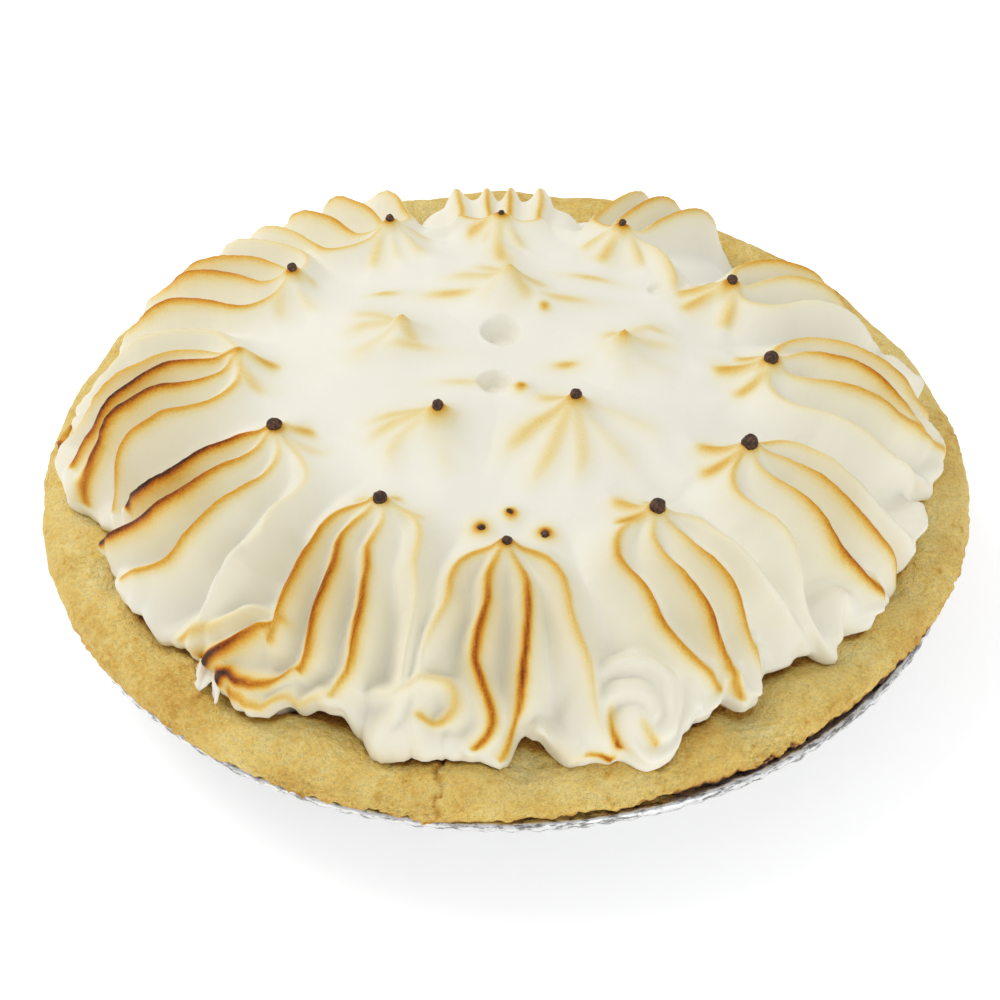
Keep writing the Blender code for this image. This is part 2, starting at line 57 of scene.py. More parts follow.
camera = bpy.data.objects.new("camera", bpy.data.cameras.new("camera"))
bpy.context.scene.collection.objects.link(camera)
bpy.context.scene.camera = camera
camera.data.lens = CAMERA_LENS
camera.data.clip_start = 0.01
camera.rotation_mode = "QUATERNION"
sight = Vector((0.0, math.cos(CAMERA_ELEVATION), -math.sin(CAMERA_ELEVATION)))
camera.location = Vector((0.0, 0.0, RIM_LEVEL)) - sight * CAMERA_DISTANCE
level = sight.to_track_quat("-Z", "Y").to_matrix()
level = level @ Matrix.Rotation(-CAMERA_ROLL, 3, "Z")
level = level @ Matrix.Rotation(-AIM_BELOW, 3, "X") @ Matrix.Rotation(AIM_LEFT, 3, "Y")
camera.rotation_quaternion = level.to_quaternion()


def soft_lamp(name, place, size, power, colour):
    """One softbox aimed at the middle of the pie."""
    lamp = bpy.data.lights.new(name, "AREA")
    lamp.shape = "DISK"
    lamp.size = size
    lamp.energy = power
    lamp.color = colour
    holder = bpy.data.objects.new(name, lamp)
    holder.location = place
    aim = Vector((0.0, 0.0, RIM_LEVEL)) - Vector(place)
    holder.rotation_euler = aim.to_track_quat("-Z", "Y").to_euler()
    bpy.context.scene.collection.objects.link(holder)


soft_lamp("window", (-0.62, 0.30, 0.95), 0.8, 4.9, (1.0, 0.99, 0.97))
soft_lamp("front_fill", (0.7, -1.2, 0.6), 1.2, 4.2, (0.90, 0.96, 1.0))

world = bpy.data.worlds.new("studio")
bpy.context.scene.world = world
world.use_nodes = True
world.node_tree.nodes["Background"].inputs["Color"].default_value = (1.0, 1.0, 1.0, 1.0)
world.node_tree.nodes["Background"].inputs["Strength"].default_value = 0.64
bpy.context.scene.view_settings.view_transform = "Standard"


class Wire:
    """A node socket that can be used in Python sums, in a shader or a geometry tree."""

    def __init__(self, tree, socket=None):
        self.tree = tree
        self.socket = socket

    def add(self, kind, result, settings=None, feeds=()):
        """Any other node: its settings first, then the value or wire of each input."""
        made = self.tree.nodes.new(kind)
        for key, value in (settings or {}).items():
            if key == "stops":
                ramp = made.color_ramp
                while len(ramp.elements) < len(value):
                    ramp.elements.new(0.5)
                for stop, (place, colour) in zip(ramp.elements, value):
                    stop.position = place
                    stop.color = (*colour, 1.0)
            else:
                setattr(made, key, value)
        for key, value in dict(feeds).items():
            if isinstance(key, int):
                goal = made.inputs[key]
            else:
                goal = next(s for s in made.inputs if s.enabled and s.name == key)
            if isinstance(value, Wire):
                self.tree.links.new(value.socket, goal)
            else:
                goal.default_value = value
        if isinstance(result, int):
            return Wire(self.tree, made.outputs[result])
        return Wire(self.tree, next(s for s in made.outputs if s.enabled and s.name == result))

    def maths(self, operation, first, second=0.0):
        return self.add("ShaderNodeMath", 0, {"operation": operation}, {0: first, 1: second})

    def __add__(self, other):
        return self.maths("ADD", self, other)

    def __radd__(self, other):
        return self.maths("ADD", other, self)

    def __sub__(self, other):
        return self.maths("SUBTRACT", self, other)

    def __rsub__(self, other):
        return self.maths("SUBTRACT", other, self)

    def __mul__(self, other):
        return self.maths("MULTIPLY", self, other)

    def __rmul__(self, other):
        return self.maths("MULTIPLY", other, self)

    def __truediv__(self, other):
        return self.maths("DIVIDE", self, other)

    def __pow__(self, other):
        return self.maths("POWER", self, other)


def hue(red, green, blue):
    """A colour given in 0 to 255 steps as seen on a screen, as the linear values of a shader."""
    steps = np.array([red, green, blue]) / 255.0
    return tuple(float(v) for v in np.where(steps <= 0.04045, steps / 12.92,
                                            ((steps + 0.055) / 1.055) ** 2.4))


def new_finish(name, roughness):
    """A new Principled material, with a wire into its tree and the object's own coordinates."""
    material = bpy.data.materials.new(name)
    material.use_nodes = True
    shader = material.node_tree.nodes["Principled BSDF"]
    shader.inputs["Roughness"].default_value = roughness
    place = Wire(material.node_tree).add("ShaderNodeTexCoord", "Object")
    return material, shader, place


def feed(shader, name, wire):
    wire.tree.links.new(wire.socket, shader.inputs[name])


def mottle(place, scale, detail=4.0, roughness=0.5):
    """Cloudy unevenness, 0 to 1, in lumps of about one metre over scale."""
    return place.add("ShaderNodeTexNoise", 0, {}, {"Vector": place, "Scale": scale,
                                                  "Detail": detail, "Roughness": roughness})


def blend(factor, first, second):
    return factor.add("ShaderNodeMix", "Result", {"data_type": "RGBA"},
                      {"Factor": factor, "A": first, "B": second})


def bumps(height, strength, distance):
    return height.add("ShaderNodeBump", 0, {}, {"Height": height, "Strength": strength,
                                               "Distance": distance})


bpy.ops.mesh.primitive_plane_add(size=8.0)
table = bpy.context.object
table.name = "table_top"
paper, shader, place = new_finish("table_paper", 0.85)
feed(shader, "Base Color", blend(mottle(place, 4.0), (0.90, 0.90, 0.90, 1.0), (0.93, 0.93, 0.93, 1.0)))
shader.inputs["Emission Color"].default_value = (1.0, 1.0, 1.0, 1.0)
shader.inputs["Emission Strength"].default_value = 0.40
table.data.materials.append(paper)

# ==== Foil tin ================================================================================
# A pie tin pressed from thin aluminium foil: the wall is gathered into fine upright pleats, the
# flange is wrinkled where it was drawn in, and the outer edge is rolled under.

TIN_HEIGHT = 28.3 * MM
TIN_FLOOR_RADIUS = 90.5 * MM
TIN_MOUTH_RADIUS = 106.5 * MM
TIN_RIM_RADIUS = 116.8 * MM
TIN_BEAD = 1.1 * MM
FOIL = 0.2 * MM
FOIL_STEP = 1.8 * MM
FOIL_STEPS_ROUND = 720


def skinned(name, rings, material, along=None):
    """A mesh through rings of points listed from the top down.

    Two rings next to each other have as many points, or the lower has twice as many, or one is
    a single point that closes the skin.  Each four-sided face is cut in two along the diagonal
    whose ends are most alike in along, a number for each point, so that creases stay crisp.
    """
    firsts = np.concatenate([[0], np.cumsum([len(ring) for ring in rings])])
    if along is None:
        along = np.concatenate(rings)[:, 2]
    faces = []
    for k in range(len(rings) - 1):
        upper, lower = len(rings[k]), len(rings[k + 1])
        u, v = firsts[k], firsts[k + 1]
        around = np.arange(max(upper, lower))
        if upper == lower:
            after = (around + 1) % upper
            a, b, c, d = u + around, v + around, v + after, u + after
            falling = (np.abs(along[a] - along[c]) <= np.abs(along[b] - along[d]))[:, None]
            faces += np.where(falling, np.stack([a, b, c], 1), np.stack([a, b, d], 1)).tolist()
            faces += np.where(falling, np.stack([a, c, d], 1), np.stack([b, c, d], 1)).tolist()
        elif upper == 1:
            faces += np.stack([u + 0 * around, v + around, v + (around + 1) % lower], 1).tolist()
        elif lower == 1:
            faces += np.stack([u + around, v + 0 * around, u + (around + 1) % upper], 1).tolist()
        else:
            i = np.arange(upper)
            j = (i + 1) % upper
            faces += np.stack([u + i, v + 2 * i, v + 2 * i + 1], 1).tolist()
            faces += np.stack([u + i, v + 2 * i + 1, u + j], 1).tolist()
            faces += np.stack([u + j, v + 2 * i + 1, v + 2 * j], 1).tolist()
    mesh = bpy.data.meshes.new(name)
    mesh.from_pydata(np.concatenate(rings).tolist(), [], faces)
    mesh.shade_smooth()
    mesh.materials.append(material)
    piece = bpy.data.objects.new(name, mesh)
    bpy.context.scene.collection.objects.link(piece)
    return piece


def placed(radius, bearing, height):
    """Points from their distance to the pie's middle line, their bearing and their height."""
    return np.stack([radius * np.cos(bearing), radius * np.sin(bearing), height + 0.0 * bearing], 1)


def turned(outline, steps):
    """Rings of points for a (radius, height) outline turned about the pie's middle."""
    bearing = np.arange(steps) * 2 * math.pi / steps
    rings = []
    for radius, height in outline:
        count = 1 if radius == 0.0 else steps
        rings.append(placed(radius, bearing[:count], height))
    return rings


def stepped(corners, step):
    """An outline through corners with a point at least every step."""
    points = [np.array(corners[0])]
    for start, end in zip(corners[:-1], corners[1:]):
        count = max(1, int(np.ceil(math.dist(start, end) / step)))
        for i in range(1, count + 1):
            points.append(np.array(start) + (np.array(end) - np.array(start)) * i / count)
    return np.array(points)


def rounded(knots, count=400):
    """A smooth line through the knots, evenly dense in knot numbers."""
    place = np.linspace(0.0, len(knots) - 1.0, count)
    index = np.minimum(place.astype(int), len(knots) - 2)
    part = (place - index)[:, None]
    before = knots[np.maximum(index - 1, 0)]
    start = knots[index]
    end = knots[index + 1]
    after = knots[np.minimum(index + 2, len(knots) - 1)]
    return 0.5 * (2 * start + (end - before) * part
                  + (2 * before - 5 * start + 4 * end - after) * part ** 2
                  + (3 * start - before - 3 * end + after) * part ** 3)


def geometry_tree(name, numbers):
    """A geometry tree with named number inputs: the tree, a wire for each input, its output."""
    tree = bpy.data.node_groups.new(name, "GeometryNodeTree")
    tree.interface.new_socket("Geometry", in_out="INPUT", socket_type="NodeSocketGeometry")
    for label in numbers:
        tree.interface.new_socket(label, in_out="INPUT", socket_type="NodeSocketFloat")
    tree.interface.new_socket("Finish", in_out="INPUT", socket_type="NodeSocketMaterial")
    tree.interface.new_socket("Geometry", in_out="OUTPUT", socket_type="NodeSocketGeometry")
    entry = tree.nodes.new("NodeGroupInput")
    given = {socket.name: Wire(tree, socket) for socket in entry.outputs if socket.name}
    return tree, given


def deliver(tree, shape, finish):
    """Ends a geometry tree: real meshes only, in one material."""
    real = shape.add("GeometryNodeRealizeInstances", 0, {}, {0: shape})
    done = real.add("GeometryNodeSetMaterial", 0, {}, {"Geometry": real, "Material": finish})
    leave = tree.nodes.new("NodeGroupOutput")
    tree.links.new(done.socket, leave.inputs[0])


def worked(piece, tree, values):
    """Runs a geometry tree on a piece and keeps what it makes as the piece's plain mesh."""
    modifier = piece.modifiers.new(tree.name, "NODES")
    modifier.node_group = tree
    for item in tree.interface.items_tree:
        if item.in_out == "INPUT" and item.name in values:
            modifier[item.identifier] = values[item.name]
    evaluated = piece.evaluated_get(bpy.context.evaluated_depsgraph_get())
    mesh = bpy.data.meshes.new_from_object(evaluated)
    piece.modifiers.clear()
    piece.data = mesh


def split(vector):
    """The three numbers of a vector wire."""
    x = vector.add("ShaderNodeSeparateXYZ", 0, {}, {0: vector})
    return x, Wire(x.tree, x.socket.node.outputs[1]), Wire(x.tree, x.socket.node.outputs[2])


def joined(wire, x, y, z):
    return wire.add("ShaderNodeCombineXYZ", 0, {}, {0: x, 1: y, 2: z})


def scaled(vector, factor):
    return vector.add("ShaderNodeVectorMath", 0, {"operation": "SCALE"}, {0: vector, "Scale": factor})


def added(first, second):
    return first.add("ShaderNodeVectorMath", 0, {"operation": "ADD"}, {0: first, 1: second})


def ramped(value, low, high):
    """0 below low, 1 above high, eased between."""
    return value.add("ShaderNodeMapRange", 0, {"interpolation_type": "SMOOTHSTEP"},
                     {"Value": value, "From Min": low, "From Max": high})


def polar(wire):
    """Place, distance from the pie's middle line, bearing and height of each point."""
    here = wire.add("GeometryNodeInputPosition", 0)
    x, y, z = split(here)
    radius = (x * x + y * y) ** 0.5
    bearing = x.maths("ARCTAN2", y, x)
    return here, radius, bearing, z


foil, shader, place = new_finish("bright_foil", 0.30)
shader.inputs["Metallic"].default_value = 1.0
crease = mottle(place, 420.0, 6.0, 0.62)
across, ahead, level = split(place)
from_middle = (across * across + ahead * ahead) ** 0.5
along_rim = joined(place, from_middle, 0.03 * across.maths("ARCTAN2", ahead, across), level)
# Painted reflection: dark streaks along the rim in the foil's colour stand in for the dark surroundings that
# its wrinkles would mirror.
painted_dark_reflection = ramped(mottle(along_rim, 1100.0, 3.0, 0.7), 0.46, 0.62)
feed(shader, "Base Color", blend(painted_dark_reflection, (0.74, 0.74, 0.73, 1.0), (0.24, 0.23, 0.22, 1.0)))
feed(shader, "Roughness", 0.18 + 0.26 * mottle(place, 150.0))
feed(shader, "Normal", bumps(crease, 0.5, 0.3 * MM))

bead_middle = TIN_RIM_RADIUS - TIN_BEAD
curl = [(bead_middle + TIN_BEAD * math.cos(a), TIN_HEIGHT - TIN_BEAD + TIN_BEAD * math.sin(a))
        for a in np.radians(np.arange(-150, 91, 20))]
bend = [(1.6, -0.1), (0.3, -0.6), (-0.8, -2.0)]    # out from the mouth and up from the flange, mm
heel = [(1.6, 3.0), (0.3, 1.1), (-1.2, 0.25), (-3.4, 0.0), (-9.0, 0.0), (-10.5, 0.5), (-12.5, 0.5),
        (-14.0, 0.0)]                              # out from the floor's edge and up, mm
foil_line = curl + [(TIN_MOUTH_RADIUS + out * MM, TIN_HEIGHT + up * MM) for out, up in bend]
foil_line += [(TIN_FLOOR_RADIUS + out * MM, up * MM) for out, up in heel]
flat_floor = [(40.0 * MM, 0.0), (0.0, 0.0)]
foil_line = np.vstack([stepped(foil_line, FOIL_STEP), flat_floor])
tin = skinned("foil_tin_shell", turned(foil_line, FOIL_STEPS_ROUND), foil)

tree, given = geometry_tree("pressed_pleats", ["Pleats", "Pleat Depth", "Wrinkle"])
here, radius, bearing, height = polar(given["Pleats"])
wave = radius.maths("SINE", given["Pleats"] * bearing + 3.0 * mottle(here, 60.0))
wall = ramped(height, 0.8 * MM, 4.0 * MM) * (1.0 - ramped(height, TIN_HEIGHT - 3.0 * MM, TIN_HEIGHT))
flange = ramped(radius, TIN_MOUTH_RADIUS, TIN_MOUTH_RADIUS + 4.0 * MM)
shove = given["Pleat Depth"] * wave * wall + given["Wrinkle"] * (mottle(here, 170.0) - 0.5) * flange
facing = here.add("GeometryNodeInputNormal", 0)
moved = here.add("GeometryNodeSetPosition", 0, {}, {"Geometry": given["Geometry"],
                                                    "Offset": scaled(facing, shove)})
deliver(tree, moved, given["Finish"])
worked(tin, tree, {"Pleats": 132.0, "Pleat Depth": 0.35 * MM, "Wrinkle": 1.1 * MM, "Finish": foil})
wall_thickness = tin.modifiers.new("foil", "SOLIDIFY")
wall_thickness.thickness = FOIL
wall_thickness.offset = -1.0
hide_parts("foil_tin")
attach(tin, "root")

# ==== Crust ===================================================================================
# Short pastry, pressed into the tin by hand, its rim dented by a thumb every few centimetres and
# browned in the oven to a pale gold.  The rim overhangs the tin's flange and ends in a blunt crumbly edge.

CRUST_RADIUS = 118.0 * MM
CRUST_SEAT = 34.0 * MM
CRUST_UNDER = TIN_HEIGHT + 0.5 * MM
RIM_INNER = 104.0 * MM           # outside this radius the rim strays by RIM_EDGE
RISE_LEVEL = 29.0 * MM           # above this height and outside this radius it takes up RIM_RISE
RISE_RADIUS = 92.0 * MM
CRACK_BEARING = -1.70            # radians
CRUST_STEPS = 1080

# How far the rim's edge strays from its radius and how much higher it stands, mm, by bearing.
RIM_EDGE = [(-180, 0), (-150, 0), (-120, 0), (-95, -1), (-80, -2.5), (-55, -3), (-38, -2), (-20, 0.5),
            (-5, 2.5), (15, 2.5), (40, 1.5), (90, 1), (140, 0.5), (165, 0)]
RIM_RISE = [(-180, 0), (-60, -0.4), (-20, 0), (10, 0.8), (30, 2.2), (55, 3.4), (85, 4.2), (110, 3.6),
            (140, 1.5), (165, 0.4)]

pastry, shader, place = new_finish("baked_pastry", 0.72)
cloud = mottle(place, 40.0, 3.0, 0.5)
patch = mottle(place, 170.0, 2.0, 0.5)
sand = mottle(place, 950.0, 2.0, 0.6)
flour = ramped(mottle(place, 1500.0, 2.0, 0.5), 0.54, 0.68)
# The crust's browning, which also carries painted light and shade: the right side of the rim is painted
# paler, and the crust under the meringue's foot is painted darker.
baked = place.add("ShaderNodeAttribute", "Fac", {"attribute_name": "baked"})
pit = ramped(mottle(place, 300.0, 2.0, 0.5), 0.60, 0.78)
tone = cloud * 0.46 + baked * 0.50 + patch * 0.20 + sand * 0.30 - flour * 0.12 + pit * 0.12 - 0.17
shade = tone.add("ShaderNodeValToRGB", 0, {"stops": [
    (0.34, hue(240, 222, 156)), (0.46, hue(236, 210, 130)), (0.58, hue(229, 196, 105)),
    (0.72, hue(210, 164, 70)), (0.88, hue(176, 118, 40)), (1.0, hue(66, 32, 10))]}, {"Fac": tone})
feed(shader, "Base Color", shade)
feed(shader, "Roughness", 0.62 + 0.3 * patch)
feed(shader, "Normal", bumps(sand * 1.0 + patch * 0.5 + flour * 0.3 - pit * 0.2, 1.0, 0.7 * MM))
shader.inputs["Subsurface Weight"].default_value = 0.10
shader.inputs["Subsurface Radius"].default_value = (1.0, 0.5, 0.25)
shader.inputs["Subsurface Scale"].default_value = 1.2 * MM

top_corners = [(85.0, 34.0), (95.0, 34.0), (99.0, 34.7), (103.0, 35.6), (107.0, 36.5), (110.5, 36.9),
               (113.5, 36.4), (115.8, 35.1), (117.3, 33.2), (118.0, 31.0), (117.7, 29.6), (116.6, 28.95),
               (114.0, 28.8)]
top_line = rounded(np.array(top_corners) * MM, 84)
crust_line = np.concatenate([
    [(0.0, CRUST_SEAT), (40 * MM, CRUST_SEAT)], top_line,
    [(TIN_MOUTH_RADIUS + 1.0 * MM, CRUST_UNDER), (TIN_MOUTH_RADIUS - 1.8 * MM, TIN_HEIGHT - 2.0 * MM),
     (TIN_FLOOR_RADIUS, 3.0 * MM), (TIN_FLOOR_RADIUS - 3.0 * MM, 0.8 * MM), (0.0, 0.8 * MM)]])


def turn_from(bearing, degrees=0.0):
    """How far each bearing is from one given in degrees, the short way round, in radians."""
    return (bearing - math.radians(degrees) + math.pi) % (2 * math.pi) - math.pi


def closed_line(knots, count, before=1):
    """A smooth line all the way round the pie, through knots listed by bearing in degrees."""
    turn = np.array([360.0, 0.0])
    knots = np.array(knots, dtype=float)
    return rounded(np.vstack([knots[-before:] - turn, knots, knots[:2] + turn]), count)


def by_bearing(line, bearing):
    """The value that such a line has at each bearing."""
    return np.interp(np.degrees(turn_from(bearing)), line[:, 0], line[:, 1])


edge_line = closed_line(RIM_EDGE, 1500)
rise_line = closed_line(RIM_RISE, 1500)
crust_rings = turned(crust_line, CRUST_STEPS)
for ring in crust_rings:
    if len(ring) == 1:
        continue
    bearing = np.arctan2(ring[:, 1], ring[:, 0])
    reach = np.hypot(ring[:, 0], ring[:, 1])
    outer_part = np.clip((reach - RIM_INNER) / (CRUST_RADIUS - RIM_INNER), 0, 1)
    upper_part = np.clip((ring[:, 2] - RISE_LEVEL) / (4 * MM), 0, 1)
    upper_part = upper_part * np.clip((reach - RISE_RADIUS) / (16 * MM), 0, 1)
    stretch = 1.0 + outer_part * by_bearing(edge_line, bearing) * MM / reach
    ring[:, 0] *= stretch
    ring[:, 1] *= stretch
    ring[:, 2] += upper_part * by_bearing(rise_line, bearing) * MM
crust = skinned("crust_shell", crust_rings, pastry)

tree, given = geometry_tree("thumbed_rim", ["Dents", "Dent Depth", "Wander", "Lump", "Crumb", "Crack"])
here, radius, bearing, height = polar(given["Dents"])
rim = ramped(radius, 95.0 * MM, 104.0 * MM)
upper = ramped(height, 30.0 * MM, 34.0 * MM)
outer = ramped(radius, 108.0 * MM, CRUST_RADIUS)
uneven = bearing.maths("SINE", bearing * 2.0 + 0.6) * 1.4 + bearing.maths("SINE", bearing * 5.0) * 0.7
wave = bearing.maths("SINE", given["Dents"] * bearing + uneven)
scoop = (wave * 0.5 + 0.5) ** 1.6
inner_side = 1.0 - ramped(radius, 106.0 * MM, 117.0 * MM) * 0.75
drop = given["Dent Depth"] * (0.35 - scoop) * inner_side * upper * rim
drop = drop + given["Lump"] * (mottle(here, 60.0, 2.0) - 0.5) * rim * upper
crack_line = bearing - CRACK_BEARING + 0.02 * (mottle(here, 200.0, 2.0) - 0.5) * 4.0
crack = ramped(crack_line.maths("ABSOLUTE", crack_line) * radius, 0.9 * MM, 0.2 * MM)
crack = crack * ramped(radius, RIM_INNER, RIM_INNER + 2.0 * MM)
drop = drop - given["Crack"] * crack * upper
around = joined(here, here.maths("COSINE", bearing), here.maths("SINE", bearing), 0.0)
stray = given["Wander"] * (mottle(scaled(around, 0.12), 40.0, 3.0) - 0.5) * outer
facing_front = ramped(here.maths("COSINE", bearing + 1.2), 0.0, 0.8)
crumbly = (1.0 - ramped(height, 30.5 * MM, 35.0 * MM) * 0.4) * (0.3 + 0.7 * facing_front)
busy = 0.5 + 1.7 * ramped(mottle(here, 45.0, 1.0), 0.4, 0.62)
coarse = (mottle(here, 150.0, 2.0) - 0.5) * 1.25 + (mottle(here, 420.0, 3.0, 0.6) - 0.5) * busy
shove = given["Crumb"] * coarse * crumbly * rim
facing = here.add("GeometryNodeInputNormal", 0)
offset = added(added(scaled(around, stray), scaled(facing, shove)), joined(here, 0.0, 0.0, drop))
moved = here.add("GeometryNodeSetPosition", 0, {}, {"Geometry": given["Geometry"], "Offset": offset})
front_right = ramped(here.maths("COSINE", bearing + 0.80), 0.75, 0.98)
# Painted light: the right side of the rim is painted paler to make up for the shade that the lamps leave
# there.
painted_light_right_side = ramped(here.maths("COSINE", bearing - 0.05), 0.80, 0.98)
under_edge = 1.0 - ramped(height + coarse * 3.0 * MM, 29.4 * MM, 31.0 * MM)
under_edge = under_edge * ramped(radius, 112.0 * MM, 115.0 * MM)
# Browning of the rim, darker between the dents, at its outer and lower edges and at the front right, less the
# painted light that makes the right side paler.
browned_plus_painted_light = 0.42 + (0.5 - scoop) * 0.20 * inner_side + coarse * 0.4 + outer * 0.14 + crack * 0.35
browned_plus_painted_light = browned_plus_painted_light + under_edge * (0.25 + 0.75 * front_right)
browned_plus_painted_light = browned_plus_painted_light + outer * 0.14 * front_right - 0.10 * painted_light_right_side
kept = here.add("GeometryNodeStoreNamedAttribute", 0, {"data_type": "FLOAT", "domain": "POINT"},
                {"Geometry": moved, "Name": "baked", "Value": browned_plus_painted_light})
deliver(tree, kept, given["Finish"])
worked(crust, tree, {"Dents": 23.0, "Dent Depth": 3.0 * MM, "Wander": 2.5 * MM, "Lump": 3.0 * MM,
                     "Crumb": 2.6 * MM, "Crack": 1.0 * MM, "Finish": pastry})
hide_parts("crust")
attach(crust, "root")

# ==== Meringue ================================================================================
# Stiff whipped egg white and sugar, piped with a wide star nozzle in two rings of pulled peaks,
# twelve round the edge and five within, then scorched along every crest.  Each peak trails
# ridges; the outer ones run on over the shoulder as tall fins to a loose foot on the crust.

# The two limits of its side view, middle to foot, as (radius, height): the troughs between
# stars, and the crests of their fins.
TROUGH = np.array([
    (0, 68.0), (12, 67.9), (22, 67.8), (30, 67.6), (42, 67.0), (50, 66.0), (57, 64.3), (63, 62.2),
    (69, 59.8), (75, 57.0), (81, 53.2), (86.5, 48.6), (91.5, 44.0), (95.5, 40.2), (98.5, 37.0),
]) * MM
CREST = np.array([
    (0, 69.0), (12, 69.0), (22, 69.2), (30, 69.4), (42, 69.6), (53, 69.8), (60, 70.0), (66, 70.1),
    (72, 69.7), (79, 69.6), (87, 69.2), (94, 66.0), (99.0, 58.0), (102.4, 48.0), (104.5, 37.4),
]) * MM
OUTER_RING = 65.5 * MM
INNER_RING = 29.0 * MM
STAR_TURN = 0.75                 # how far round a star reaches, radians
STAR_INWARD = 32 * MM            # and how far in from its peak
INNER_REACH = 36 * MM
FOLD_TURN = 0.4                  # how far round and up a fold reaches, radians and metres
FOLD_UP = 55 * MM
FOLD_RADIUS = 101 * MM           # a degree is as wide as it is here
PLAIN_FOOT = 105.2               # radius of a foot that the two limits need no shift to meet, mm
FOOT_BROAD = 21                  # the side follows the foot's mean over so many degrees
BROW_SPAN = (60 * MM, 80 * MM)   # how far down the side the brows stand out
FOOT_SPAN = (80 * MM, 108 * MM)  # and the side turns out to the foot

def outer_star(bearing, out, fins, stubs, brow=0, tall=1, blunt=1.3, fill=(0, 0), knob=1.0):
    """One of the twelve stars of the outer ring, with what most of them share filled in.

    bearing: degrees.  out: how far the peak is outside its ring, mm.  brow: how far the fins'
    shoulder is outside the others', mm.  tall: how high the fins stand.  blunt: how round their
    crests are, mm.  fill: how far the scoops between its fins and beside them are filled near
    the top.  knob: how burnt the tip is.  fins: each long ridge's distance to the side of the
    star's line, mm, at 14, 30 and 45 mm down from the peak and at its end, how far down it ends,
    then how brown its crest is at the tip, the shoulder, the side and the foot (1 is burnt).
    stubs: the short inward ridges, as the bearings from the star's line on which each leaves and
    ends, its length in mm, its brown.
    """
    return dict(bearing=bearing, out=out, fins=fins, stubs=stubs, brow=brow, tall=tall, blunt=blunt,
                fill=fill, knob=knob)


